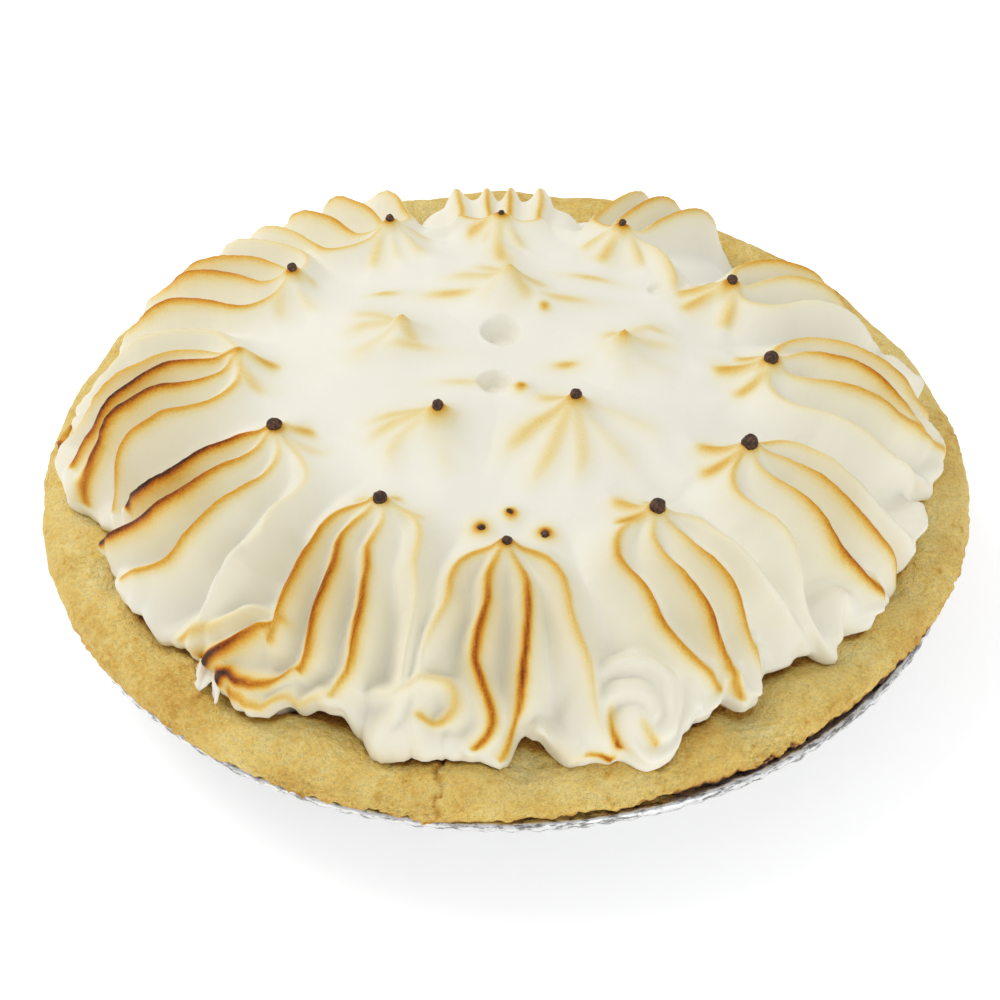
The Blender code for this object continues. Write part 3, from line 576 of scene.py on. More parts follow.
# Counterclockwise from the front.
STARS = [
    outer_star(bearing=-89, out=3.5, brow=-2, knob=0.9, fins=(
        (-14, -19, -21, -21, 57, 0.50, 0.46, 0.14, 0.05), (-5, -7.5, -4, -8, 53, 0.40, 0.78, 0.84, 0.70),
        (4.5, 4, 1.5, -2, 57, 0.35, 0.80, 0.92, 0.50), (13.5, 17, 20, 22, 56, 0.50, 0.46, 0.34, 0.10)),
        stubs=((180, 180, 8, 0.0),)),
    outer_star(bearing=-57, out=0.5, fins=(
        (-16, -16, -9.5, -7, 54, 0.30, 0.56, 0.62, 0.50), (-6, -5, -3.5, -2, 57, 0.25, 0.50, 0.80, 0.50),
        (2, 4, 5, 6, 60, 0.25, 0.55, 0.58, 0.30), (9.5, 13, 18.5, 22, 60, 0.25, 0.16, 0.08, 0.0)),
        stubs=((-95, -108, 11, 0.58), (-145, -161, 12, 0.45), (150, 150, 7, 0.42))),
    outer_star(bearing=-30, out=2.5, fins=(
        (-16, -22, -24, -22, 57, 0.42, 0.30, 0.14, 0.05), (-5.5, -9, -6, -2, 57, 0.25, 0.50, 0.80, 0.62),
        (3.5, 2, 7, 8.5, 59, 0.30, 0.55, 0.62, 0.64), (10.5, 9.5, 14, 17, 56, 0.42, 0.28, 0.12, 0.0)),
        stubs=((-165, -177, 13, 0.5), (-115, -122, 13.5, 0.5), (160, 160, 7, 0.42))),
    outer_star(bearing=0, out=1.0, brow=1, fins=(
        (-17, -24, -18, -15, 58, 0.28, 0.20, 0.18, 0.1), (-5, -8.5, -6, -5, 58, 0.20, 0.50, 0.52, 0.40),
        (5, -2, -6, -6, 44, 0.20, 0.58, 0.74, 0.30), (11.5, 7, 6, 7, 58, 0.40, 0.40, 0.52, 0.40)),
        stubs=((-108, -134, 12, 0.42), (160, 174, 14, 0.48), (115, 126, 12, 0.45))),
    outer_star(bearing=29, out=1.5, tall=0.98, blunt=1.5, knob=0.95, fins=(
        (-12.5, -19, -19, -18, 57, 0.30, 0.16, 0.08, 0.0), (-2, -9, -9, -8, 57, 0.20, 0.42, 0.50, 0.20),
        (7, 0, 1, 2, 57, 0.24, 0.58, 0.58, 0.35)),
        stubs=((-105, -119, 13, 0.38), (165, 178, 14, 0.42), (130, 141, 14, 0.45), (108, 100, 12, 0.42))),
    outer_star(bearing=61, out=0.0, brow=-6, tall=0.95, blunt=1.6, fill=(0.2, 0.3), knob=0.9, fins=(
        (-6, -12, -11, -9, 57, 0.25, 0.50, 0.48, 0.2),
        (4, -1, 0, 2, 57, 0.30, 0.55, 0.52, 0.2), (11.5, 8, 9, 12, 56, 0.42, 0.48, 0.40, 0.2)),
        stubs=((-75, -112, 30, 0.3), (-110, -121, 14, 0.3), (170, 177, 14, 0.38), (122, 131, 13, 0.3))),
    outer_star(bearing=91, out=-3.0, brow=-13, tall=0.9, blunt=3.0, fill=(0.80, 0.66), knob=0.85, fins=(
        (-12.5, -13, -13, -13, 58, 0.25, 0.46, 0.34, 0.1), (-3.4, -3.5, -4, -4, 58, 0.25, 0.52, 0.44, 0.2),
        (3.8, 4, 4, 4, 58, 0.25, 0.50, 0.42, 0.2), (12.5, 13, 13, 13, 58, 0.42, 0.46, 0.36, 0.1)),
        stubs=((-140, -140, 12, 0.25), (170, 186, 27, 0.38), (140, 140, 10, 0.2), (105, 100, 12, 0.42))),
    outer_star(bearing=118, out=0.5, brow=-6, tall=0.95, blunt=1.6, fill=(0.2, 0.2), knob=0.9, fins=(
        (-9, -10, -10, -10, 57, 0.25, 0.44, 0.36, 0.1), (0.5, 4, 4, 4, 57, 0.30, 0.54, 0.50, 0.2),
        (11, 16, 17, 18, 57, 0.30, 0.58, 0.52, 0.2), (23, 28, 29, 29, 56, 0.30, 0.44, 0.34, 0.1)),
        stubs=((118, 128, 16, 0.3), (160, 165, 12, 0.18), (-150, -157, 14, 0.22), (-110, -110, 12, 0.25))),
    outer_star(bearing=148, out=0.0, brow=-4, tall=0.97, blunt=1.4, knob=0.95, fins=(
        (-3.5, 0, -1, -2, 57, 0.25, 0.54, 0.60, 0.2), (6, 8, 8, 8, 57, 0.30, 0.66, 0.70, 0.2),
        (19, 24, 23, 22, 56, 0.25, 0.60, 0.72, 0.3), (-13, -12, -12, -12, 56, 0.20, 0.30, 0.20, 0.1)),
        stubs=((100, 97, 17, 0.25), (148, 140, 13, 0.18), (-140, -140, 7, 0.25))),
    outer_star(bearing=179, out=0.0, brow=2, knob=0.6, fins=(
        (-3, 3, 5, 6, 58, 0.30, 0.46, 0.48, 0.2), (2, 12, 15, 16, 51, 0.50, 0.95, 1.1, 0.8),
        (10.5, 17.5, 20, 23, 59, 0.35, 0.85, 1.05, 0.65), (19.5, 27, 36, 38, 48, 0.30, 0.52, 0.62, 0.5),
        (-12, -12, -12, -12, 58, 0.20, 0.20, 0.20, 0.1)),
        stubs=((100, 107, 15, 0.3), (165, 165, 8, 0.15), (180, 180, 9, 0.5))),
    outer_star(bearing=-153, out=-4.5, fins=(
        (-3, 0.5, -7, -8, 47, 0.55, 0.95, 1.15, 1.1), (4, 8, 1.5, -10, 60, 0.35, 0.74, 0.98, 1.05),
        (12.5, 18, 16, 6, 58, 0.20, 0.52, 0.58, 0.52), (24, 32, 34, 33, 62, 0.26, 0.18, 0.10, 0.0)),
        stubs=((-70, -70, 5, 0.25), (108, 118, 14, 0.22), (165, 172, 9, 0.45))),
    outer_star(bearing=-118, out=-4.5, brow=-1, fins=(
        (-8.5, -7.5, -7, -8, 41, 0.45, 0.62, 0.72, 0.5), (-2.5, 1, 2.5, 0.5, 53, 0.30, 0.72, 0.86, 0.62),
        (5, 11.5, 13, 10.5, 57, 0.20, 0.64, 0.80, 0.42), (16, 23.5, 26, 24, 58, 0.30, 0.28, 0.16, 0.1)),
        stubs=((-105, -77, 9, 0.3), (96, 78, 14, 0.3), (161, 161, 7, 0.38))),
]

# Inner stars: bearing in degrees, peak's radius from the ring's in mm, how burnt the tip is, and
# the ridges like the stubs above.
INNER_STARS = [
    dict(bearing=-122, out=0.2, knob=0.9, ridges=(
        (-103, -55, 22, 0.31), (-89, -33, 22, 0.30), (-58, 0, 23, 0.23), (45, 35, 22, 0.12),
        (80, 60, 14, 0.05), (-170, 122, 9, 0.13), (-159, -159, 11, 0.18), (-130, -118, 14, 0.14))),
    dict(bearing=-48, out=-2.4, knob=0.95, ridges=(
        (175, 188, 17, 0.34), (-118, -88, 28, 0.36), (-73, -63, 33, 0.30), (-32, -42, 29, 0.26),
        (-3, -5, 33, 0.17), (66, 14, 28, 0.16), (105, 90, 13, 0.07), (-145, -150, 9, 0.10))),
    dict(bearing=9, out=1.6, knob=0.6, ridges=(
        (90, 126, 12, 0.32), (64, 34, 20, 0.22), (140, 178, 9, 0.14), (20, 2, 18, 0.23),
        (-50, -35, 16, 0.11), (-95, -80, 13, 0.11), (-150, -150, 9, 0.13))),
    dict(bearing=87, out=1.3, knob=0.45, ridges=(
        (62, 81, 23, 0.27), (33, 48, 18, 0.28), (-29, -20, 12, 0.15), (-76, -80, 13, 0.32),
        (7, 4, 24, 0.26), (115, 125, 12, 0.16), (165, 165, 12, 0.08), (-135, -135, 10, 0.31))),
    dict(bearing=157, out=-1.3, knob=0.5, ridges=(
        (-35, -8, 21, 0.26), (-20, 26, 19, 0.25), (50, 58, 21, 0.20), (-73, -73, 12, 0.12),
        (100, 110, 12, 0.12), (150, 150, 9, 0.30), (-140, -140, 10, 0.13))),
]

# Small marks left where the nozzle touched down, as (bearing, radius, height, width in mm,
# brown, how many times longer it is from side to side): three burnt tips behind the front star,
# low gold ones elsewhere, and two round dents.
TOUCHES = [
    (-95, 60.8, 2.2, 4.6, 0.80, 1), (-87.8, 55.6, 1.8, 3.4, 0.75, 1), (-80.2, 62.5, 2.4, 4.6, 0.88, 1),
    (116, 32, 0.9, 3.4, 0.36, 4), (136, 43, 0.9, 3.4, 0.36, 2.5), (66, 25.5, 0.7, 2.6, 0.50, 1),
    (60, 31.5, 0.9, 3.6, 0.30, 4), (59, 44.5, 0.9, 3.6, 0.32, 4), (1.5, 15.5, 0.9, 3.8, 0.40, 2),
    (-64, 10, 2.2, 3.4, 0.58, 1), (93, 15.0, -5.0, 5.2, 0.0, 1), (-112, 5.4, -4.0, 4.4, 0.0, 1),
    (42, 56, -1.4, 2.4, 0.0, 1), (-131, 84, -2.5, 8.0, 0.0, 1), (-74, 99, 2.0, 9.0, 0.0, 1),
    (168, 24, 0.9, 3.6, 0.26, 4), (-150, 12, 0.7, 3.4, 0.22, 4), (20, 40, 0.8, 3.4, 0.26, 3),
]


def fold(*path, out, wide, brown=(0.0, 0.0)):
    """A fold piled up at the foot.

    path: as (bearing in degrees, distance up the side from the foot in mm).  out: how far it
    stands out, 1 as a fin's crest.  wide: 1 as a fin.  brown: of its crest, at its two ends.
    """
    return dict(path=path, out=out, wide=wide, brown=brown)


# The folds left at the foot where the bag was pulled away.
FOOT_FOLDS = [
    fold((-110, 14), (-105, 17), (-100, 22), (-97, 21), (-96, 15), (-98, 11), (-100, 12), out=0.92,
         wide=0.9, brown=(0.0, 0.46)),
    fold((-108, 3), (-103, 2), (-97, 2), out=1.1, wide=2.0, brown=(0.05, 0.0)),
    fold((-111.6, 13), (-112.6, 8), (-114.5, 5), (-117, 4.2), (-120, 4.4), (-123, 5.5), (-125.2, 4.5),
         (-126, 2), out=1.0, wide=1.2, brown=(0.1, 0.62)),
    fold((-118.2, 14), (-119.6, 11), (-121.5, 10), (-124, 9), (-126.5, 7.5), (-128, 5), (-128.5, 2.5),
         out=1.02, wide=1.0, brown=(0.5, 1.25)),
    fold((-122, 26), (-125.5, 18), (-129.5, 9), (-132.5, 2), out=1.08, wide=1.0, brown=(0.5, 1.3)),
    fold((-125.5, 29), (-130, 19), (-134, 10), (-137, 3), out=0.85, wide=1.1, brown=(0.1, 0.42)),
    fold((-87, 6), (-83, 5), (-79.5, 3), out=1.0, wide=1.2, brown=(0.0, 0.2)),
    fold((168, 8), (176, 5), (184, 5), (190, 9), out=1.0, wide=1.5),
    fold((-75.8, 14), (-76.2, 9), (-75.6, 4), out=0.5, wide=0.6, brown=(0.3, 0.85)),
    fold((-72.6, 12), (-71.4, 7), out=0.5, wide=0.7, brown=(0.25, 0.42)),
    fold((-79.6, 3.5), (-78.0, 2.2), (-76.8, 0.5), out=0.6, wide=0.6, brown=(0.45, 0.85)),
    fold((-63, 4), (-60, 8), (-57, 14), out=0.95, wide=0.9),
    fold((-56.5, 2), (-54.5, 8), (-52.5, 16), out=0.95, wide=0.9),
    fold((-41, 3), (-39, 9), (-37, 18), out=0.95, wide=1.1, brown=(0.0, 0.05)),
    fold((-35, 3), (-33, 8), (-31, 16), out=0.95, wide=0.9),
    fold((-21, 3), (-17, 7), (-14, 14), out=0.95, wide=1.1, brown=(0.05, 0.0)),
    fold((-8, 3), (-4, 7), (0, 12), (3, 18), out=1.0, wide=1.2),
    fold((8, 4), (14, 8), (18, 15), out=1.0, wide=1.3),
]

# The piped swirl in the gap right of the front star: where its middle is, how far it spreads,
# how many arms it has and how far they wind.
SWIRL = dict(bearing=-72.0, up=12 * MM, spread=18 * MM, arms=3, wind=16.0)

# Where the loose foot lies on the crust, as (bearing in degrees, radius in mm).
FOOT = [
    (-179.5, 109.5), (-178, 111.5), (-174, 112.5), (-171, 111.5), (-169, 106.5), (-166, 105),
    (-162, 102), (-157, 105), (-151, 106), (-146, 107), (-141, 105.5), (-137, 103.5), (-133, 104),
    (-129, 105.5), (-126, 109), (-121, 109.5), (-118, 105.5), (-116, 103), (-109, 103), (-107, 107),
    (-102, 108), (-97, 108), (-91, 107.5), (-89, 105), (-87.5, 101), (-84, 101.5), (-82, 107),
    (-80, 108.5), (-75, 110), (-71, 112.5), (-69, 111.5), (-67, 107.5), (-63, 105), (-59.5, 102),
    (-57.5, 107), (-55.5, 106.5), (-53, 101), (-47.5, 101), (-44, 102.5), (-41, 105.5), (-38.5, 103.5),
    (-35.5, 108.5), (-31, 106), (-28.5, 108), (-24, 105.5), (-21.5, 107.5), (-15, 107), (-9.5, 104.5),
    (-8, 109), (-4.5, 110.5), (-1.5, 112.5), (3, 110), (9, 109.5), (14, 108), (18, 105.5), (26, 105),
    (33, 105.5), (40, 104.5), (50, 103), (61, 105), (75, 101), (91, 100), (104, 99), (118, 105),
    (133, 104), (148, 108), (163, 107), (172, 109), (177, 109.5),
]

# Where the foot's edge has lifted off the crust, as (bearing, half width in degrees, mm).
LIFTED = [
    (-118.5, 1.2, 3.0), (-112.8, 3.0, 4.0), (-86, 2.0, 4.5), (-58, 1.5, 2.0), (-45, 2.2, 3.0),
    (-36, 2.0, 2.0), (-24, 2.0, 2.0), (-145.5, 3.0, 2.5), (-136, 2.0, 2.0), (-9, 1.2, 2.5),
    (12, 3.0, 3.0), (75, 4.0, 3.0)]

trough_line = rounded(TROUGH)
crest_line = rounded(CREST)
crest_run = np.concatenate([[0.0], np.cumsum(np.linalg.norm(np.diff(crest_line, axis=0), axis=1))])
SIDE_LENGTH = crest_run[-1]
foot_line = closed_line(FOOT, 2400, before=2)
whole_turn = np.arange(-190, 191)
broad = np.interp(whole_turn, foot_line[:, 0], foot_line[:, 1])
broad = np.convolve(broad, np.ones(FOOT_BROAD) / FOOT_BROAD, "same")
broad_foot_line = np.stack([whole_turn, broad], 1)


def grain(points, size, seed=0.0):
    """Soft random unevenness at each point, about -1 to 1, in lumps of a given size."""
    shift = Vector((seed * 17.3, seed * 5.1, seed * 9.7))
    return np.array([noise.noise(Vector(point) / size + shift) for point in points]) * 1.6


def eased(low, high, value):
    share = np.clip((value - low) / (high - low), 0.0, 1.0)
    return share * share * (3.0 - 2.0 * share)


def pulled(start, leave, end, slope):
    """A piped ridge's upper end: it leaves start on a bearing and comes round to a slope at end."""
    span = np.linalg.norm(end - start)
    first = start + 0.45 * span * np.array([math.cos(leave), math.sin(leave)])
    second = end - 0.42 * span * np.array([1.0, slope])
    part = np.linspace(0.0, 1.0, 11)[:, None]
    return ((1 - part) ** 3 * start + 3 * (1 - part) ** 2 * part * first
            + 3 * (1 - part) * part ** 2 * second + part ** 3 * end)


def fin_line(side, mid, low, foot, reach):
    """A long fin's line from the peak, round to its place on the shoulder, down to its foot."""
    leave = math.radians(np.clip(6.5 * side, -105, 105))
    upper = pulled(np.zeros(2), leave, np.array([14.0, side]), (mid - side) / 30)
    lower = rounded(np.array([(-2.0, side), (14.0, side), (30.0, mid), (45.0, low), (reach, foot)]), 41)
    return np.concatenate([upper, lower[11:]]) * MM


def stub_line(leave, arrive, length):
    """A short ridge that fades into the top, bent from one bearing to another."""
    part = np.linspace(0.0, 1.0, 7)
    turn = np.radians(leave + (arrive - leave) * part)
    return np.stack([part * np.cos(turn), part * np.sin(turn)], 1) * length * MM


def nearest(line, x, y):
    """Each point's distance to a line, how far along it (0 to 1), and how sideways it runs there."""
    best = np.full(x.shape, 9.0)
    along = np.zeros(x.shape)
    sideways = np.zeros(x.shape)
    lengths = np.linalg.norm(np.diff(line, axis=0), axis=1)
    gone = 0.0
    for start, end, length in zip(line[:-1], line[1:], lengths):
        step = (end - start) / length
        share = np.clip((x - start[0]) * step[0] + (y - start[1]) * step[1], 0.0, length)
        away = np.hypot(x - start[0] - share * step[0], y - start[1] - share * step[1])
        closer = away < best
        best[closer] = away[closer]
        along[closer] = (gone + share)[closer]
        sideways[closer] = abs(step[1])
        gone += length
    return best, along / gone, sideways


def ridge_lift(distance, blunt=1.0 * MM):
    """Cross-section of a piped ridge: a narrow rounded crest on a broad skirt."""
    crest = np.exp(-(np.sqrt(distance ** 2 + blunt ** 2) - blunt) / (2.7 * MM))
    return 0.62 * crest + 0.38 * np.exp(-(distance / (8.2 * MM)) ** 2)


def crest_toast(distance):
    """How the browning falls away from a crest: a burnt line, a gold edge, a cream haze."""
    return (0.53 * np.exp(-(distance / (0.85 * MM)) ** 2) + 0.30 * np.exp(-(distance / (1.7 * MM)) ** 2)
            + 0.17 * np.exp(-(distance / (4.6 * MM)) ** 2))


def soft_toast(distance):
    """The paler browning of the low inner ridges."""
    return 0.55 * np.exp(-(distance / (1.7 * MM)) ** 2) + 0.45 * np.exp(-(distance / (4.4 * MM)) ** 2)


def meringue_side(run, bearing):
    """Place and toast of the meringue's outer surface, at a run down its side and a bearing."""
    low_r = np.interp(run, crest_run, trough_line[:, 0])
    low_z = np.interp(run, crest_run, trough_line[:, 1])
    high_r = np.interp(run, crest_run, crest_line[:, 0])
    high_z = np.interp(run, crest_run, crest_line[:, 1])
    level = placed(high_r, bearing, run)
    waver_x = grain(level, 14 * MM, 7.0) * 0.6 * MM
    waver_y = grain(level, 14 * MM, 9.0) * 0.6 * MM + grain(level, 3.0 * MM, 6.0) * 0.10 * MM

    power = 6.0
    lift = np.zeros(run.shape)
    rise = np.zeros(run.shape)
    toast = np.zeros(run.shape)
    for star in STARS:
        peak_run = np.interp(OUTER_RING + star["out"] * MM, crest_line[:, 0], crest_run)
        turn = turn_from(bearing, star["bearing"])
        near = (np.abs(turn) < STAR_TURN) & (run > peak_run - STAR_INWARD)
        x = run[near] - peak_run + waver_x[near]
        y = turn[near] * high_r[near] + waver_y[near]
        star_lift = np.zeros(x.shape)
        star_toast = np.zeros(x.shape)
        for side, mid, low, foot, reach, *browns in star["fins"]:
            distance, share, sideways = nearest(fin_line(side, mid, low, foot, reach), x, y)
            brown = np.interp(share, (0.04, 0.32, 0.60, 0.94), browns)
            strength = 0.92 + 0.1 * max(browns) - 0.15 * eased(0.85, 1.0, share)
            blunt = (star["blunt"] + 1.2 * sideways) * MM
            star_lift += (strength * ridge_lift(distance, blunt)) ** power
            star_toast = np.maximum(star_toast, brown * crest_toast(distance)
                                    * (1.0 - eased(0.96, 1.0, share)))
        for leave, arrive, length, brown in star["stubs"]:
            distance, share, sideways = nearest(stub_line(leave, arrive, length), x, y)
            star_lift += ((0.88 - 0.6 * eased(0.3, 1.0, share)) * ridge_lift(distance)) ** power
            warmth = (0.6 + 0.3 * eased(0.2, 0.6, share)) * (1.0 - eased(0.68, 1.0, share))
            star_toast = np.maximum(star_toast, brown * soft_toast(distance) * warmth)
        tip = np.hypot(x, y)
        rise[near] = np.maximum(rise[near], 2.6 * MM * np.exp(-(tip / (2.8 * MM)) ** 1.3))
        star_toast = np.maximum(star_toast, star["knob"] * (0.62 * np.exp(-(tip / (1.9 * MM)) ** 2)
                                                            + 0.30 * np.exp(-(tip / (4.2 * MM)) ** 2)))
        body = (np.maximum(star["fill"][0] * np.exp(-(y / (17.5 * MM)) ** 8),
                           star["fill"][1] * np.exp(-(y / (27 * MM)) ** 8))
                * eased(-4 * MM, 8 * MM, x) * (1.0 - 0.6 * eased(22 * MM, 45 * MM, x)))
        star_lift = np.minimum(star_lift, 1.6) * star["tall"] ** power + body ** power
        lift[near] = (lift[near] ** power + star_lift) ** (1 / power)
        toast[near] = np.maximum(toast[near], star_toast)

    up = SIDE_LENGTH - run
    for fold in FOOT_FOLDS:
        knots = np.array(fold["path"], dtype=float)
        middle = knots[:, 0].mean()
        turn = turn_from(bearing, middle)
        near = (np.abs(turn) < FOLD_TURN) & (up < FOLD_UP)
        line = np.stack([knots[:, 1] * MM, (np.radians(knots[:, 0]) - math.radians(middle)) * FOLD_RADIUS], 1)
        distance, share, sideways = nearest(rounded(line, 6 * len(line)), up[near] + waver_x[near],
                                            turn[near] * high_r[near] + waver_y[near])
        ends = 1.0 - 0.35 * eased(0.75, 1.0, share) - 0.5 * (1.0 - eased(0.0, 0.2, share))
        fold_lift = fold["out"] * ends * ridge_lift(distance / fold["wide"], 1.8 * MM)
        lift[near] = (lift[near] ** power + fold_lift ** power) ** (1 / power)
        brown = fold["brown"][0] + (fold["brown"][1] - fold["brown"][0]) * share
        toast[near] = np.maximum(toast[near], brown * crest_toast(distance / (1.4 * fold["wide"])))

    across = turn_from(bearing, SWIRL["bearing"]) * high_r
    part = np.hypot(across + waver_y, up - SWIRL["up"] + waver_x) / SWIRL["spread"]
    round_it = np.arctan2(up - SWIRL["up"], across)
    arm = 0.5 + 0.5 * np.cos(SWIRL["arms"] * round_it - SWIRL["wind"] * part)
    grooves = 0.26 * (1.0 - arm ** 0.7) * np.minimum(3.0 * part, 1.0)
    dome = (1.0 - np.minimum(part, 1.0) ** 2) ** 0.4 * (0.96 - grooves)
    lift = (lift ** power + dome ** power) ** (1 / power)

    for star in INNER_STARS:
        centre = INNER_RING + star["out"] * MM
        a = math.radians(star["bearing"])
        away_x = run * np.cos(bearing) - centre * math.cos(a)
        away_y = run * np.sin(bearing) - centre * math.sin(a)
        near = np.hypot(away_x, away_y) < INNER_REACH
        x = away_x[near] * math.cos(a) + away_y[near] * math.sin(a) + waver_x[near]
        y = away_y[near] * math.cos(a) - away_x[near] * math.sin(a) + waver_y[near]
        star_lift = np.zeros(x.shape)
        star_toast = np.zeros(x.shape)
        for leave, arrive, length, brown in star["ridges"]:
            distance, share, sideways = nearest(stub_line(leave, arrive, length), x, y)
            star_lift += ((1.0 - 0.85 * share) * ridge_lift(distance * 0.75, 1.6 * MM)) ** 4
            star_toast = np.maximum(star_toast, 0.88 * brown * soft_toast(0.85 * distance)
                                    * (1.0 - eased(0.5, 1.0, share)))
        tip = np.hypot(x, y)
        star_toast = np.maximum(star_toast, star["knob"] * (0.45 * np.exp(-(tip / (1.8 * MM)) ** 2)
                                                            + 0.34 * np.exp(-(tip / (5.0 * MM)) ** 2)))
        hill = 4.4 * MM * star_lift ** 0.25 + 2.2 * MM * np.exp(-(tip / (2.6 * MM)) ** 1.4)
        rise[near] = np.maximum(rise[near], hill)
        toast[near] = np.maximum(toast[near], star_toast)

    for touch_bearing, touch_radius, up, width, brown, longer in TOUCHES:
        a = math.radians(touch_bearing)
        away = np.hypot((high_r * np.cos(bearing) - touch_radius * MM * math.cos(a)) / longer,
                        high_r * np.sin(bearing) - touch_radius * MM * math.sin(a))
        share = away / (width * MM)
        shape = np.exp(-share ** 2) if up > 0 else 1.0 - eased(0.55, 1.05, share)
        rise += up * MM * shape
        mark = 0.6 * np.exp(-(away / (1.5 * MM)) ** 2) + 0.4 * np.exp(-(away / (0.75 * width * MM)) ** 2)
        toast = np.maximum(toast, brown * mark)

    foot_shift = (by_bearing(broad_foot_line, bearing) - PLAIN_FOOT) * MM
    brow_shift = np.interp(bearing, np.radians(star_bearings), star_brows, period=2 * math.pi) * MM
    outward = eased(*FOOT_SPAN, run)
    radius = (low_r + lift * (high_r - low_r) + foot_shift * outward
              + brow_shift * eased(*BROW_SPAN, run) * (1.0 - outward))
    height = low_z + lift * (high_z - low_z) + rise
    haze = 0.07 * lift ** 2 * eased(40 * MM, 60 * MM, run)
    return radius, height, np.maximum(toast, haze)


order = sorted(range(len(STARS)), key=lambda i: STARS[i]["bearing"])
star_bearings = [STARS[i]["bearing"] for i in order]
star_brows = [STARS[i]["brow"] for i in order]

# The skin: rings down the side, the loose lip, and a flat seat inside the crust's rim.
COARSE_STEPS = 380
FINE_STEPS = 760
coarse_runs = np.linspace(1.0, 50.0, 49) * MM
fine_runs = np.linspace(50.8 * MM, SIDE_LENGTH, 97)
LIP = 2.8 * MM
SINK_RUN = 92 * MM                   # below this run the side comes down to meet the crust
FLARE_SPAN = (103 * MM, 123 * MM)    # and over these the foot spreads to FOOT
FOOT_BLUR = 9                        # how many points of the foot are taken together

crust_tree = BVHTree.FromObject(crust, bpy.context.evaluated_depsgraph_get())


def crust_top(radius, bearing):
    """Height of the finished crust under each place."""
    found = []
    for r, a in zip(radius, bearing):
        spot = crust_tree.ray_cast(Vector((r * math.cos(a), r * math.sin(a), 60 * MM)), Vector((0, 0, -1)))
        found.append(spot[0].z if spot[0] else CRUST_SEAT)
    return np.array(found)


rings = []
for steps, runs in ((COARSE_STEPS, coarse_runs), (FINE_STEPS, fine_runs)):
    rings += [(run, np.arange(steps) * 2 * math.pi / steps) for run in runs]
run_all = np.concatenate([np.full(len(around), run) for run, around in rings])
bearing_all = np.concatenate([around for run, around in rings])
radius, height, toast = meringue_side(run_all, bearing_all)
points = placed(radius, bearing_all, height)
slope = eased(60 * MM, 100 * MM, run_all)
soft = grain(points, 22 * MM, 1.0) * 1.0 * MM + grain(points, 8 * MM, 2.0) * 0.5 * MM * (0.3 + 0.7 * slope)
radius = radius + soft * slope
height = height + soft * (1.0 - slope)

fine_bearing = np.arange(FINE_STEPS) * 2 * math.pi / FINE_STEPS
last = slice(len(radius) - FINE_STEPS, None)
mean_foot = np.convolve(np.tile(radius[last], 3), np.ones(FOOT_BLUR) / FOOT_BLUR, "same")
mean_foot = mean_foot[FINE_STEPS:2 * FINE_STEPS]
missing = by_bearing(foot_line, fine_bearing) * MM - mean_foot
ring_points = placed(100 * MM, fine_bearing, 0.0)
lobes = np.minimum(np.abs(grain(ring_points, 10 * MM, 3.0)) * 2.4, 1.0)
ragged = (lobes - 0.7) * 1.2 * MM + grain(ring_points, 3 * MM, 4.0) * 0.5 * MM
lifted = np.maximum(grain(ring_points, 13 * MM, 5.0), 0.0) * 3.0 * MM
for lift_bearing, half_width, rise in LIFTED:
    turn = turn_from(fine_bearing, lift_bearing)
    lifted = np.maximum(lifted, rise * MM * np.exp(-(turn / math.radians(half_width)) ** 4))
foot_radius = radius[last] + missing
foot_height = crust_top(foot_radius - 1.0 * MM, fine_bearing) + LIP + lifted - 0.3 * MM
lowering = foot_height - height[last]
sink = eased(SINK_RUN, SIDE_LENGTH, run_all)
flare = eased(*FLARE_SPAN, run_all)
outer_part = np.arange(len(radius)) >= len(coarse_runs) * COARSE_STEPS
fine_index = (np.arange(len(radius)) - len(coarse_runs) * COARSE_STEPS) % FINE_STEPS
radius = radius + np.where(outer_part, ragged[fine_index] * sink + missing[fine_index] * flare, 0.0)
height = height + np.where(outer_part, lowering[fine_index] * sink ** 2, 0.0)
foot_radius = radius[last]

ends = np.cumsum([len(around) for run, around in rings])[:-1]
skin_rings = [np.array([[0.0, 0.0, np.mean(height[:COARSE_STEPS])]])]
skin_rings += np.split(placed(radius, bearing_all, height), ends)
skin_toast = [np.zeros(1)] + np.split(toast, ends)
for turn in np.radians([30, 60, 90, 115]):
    skin_rings.append(placed(foot_radius - LIP * (1 - np.cos(turn)), fine_bearing,
                             foot_height - LIP * np.sin(turn)))
    skin_toast.append(np.zeros(FINE_STEPS))
for inward, level_height in ((6 * MM, CRUST_SEAT + 0.5 * MM), (14 * MM, CRUST_SEAT)):
    skin_rings.append(placed(foot_radius - inward, fine_bearing, level_height))
    skin_toast.append(np.zeros(FINE_STEPS))
skin_rings.append(np.array([[0.0, 0.0, CRUST_SEAT]]))
skin_toast.append(np.zeros(1))
skin_toast = np.concatenate(skin_toast)

whipped, shader, place = new_finish("whipped_meringue", 0.5)
brown = place.add("ShaderNodeAttribute", "Fac", {"attribute_name": "toast"})
fine = mottle(place, 1900.0, 3.0, 0.7)
patch = mottle(place, 160.0, 3.0, 0.55)
depth = brown * (0.58 + 0.26 * patch + 0.58 * fine)
skin_colour = depth.add("ShaderNodeValToRGB", 0, {"stops": [
    (0.0, hue(242, 239, 226)), (0.12, hue(240, 233, 206)), (0.25, hue(236, 217, 157)),
    (0.40, hue(228, 186, 88)), (0.54, hue(213, 150, 34)), (0.68, hue(190, 110, 8)),
    (0.82, hue(144, 68, 2)), (1.0, hue(52, 26, 10))]}, {"Fac": depth})
feed(shader, "Base Color", skin_colour)
feed(shader, "Normal", bumps(mottle(place, 450.0, 3.0), 0.12, 0.3 * MM))
shader.inputs["Subsurface Weight"].default_value = 0.12
shader.inputs["Subsurface Radius"].default_value = (1.0, 0.9, 0.78)
shader.inputs["Subsurface Scale"].default_value = 1.5 * MM
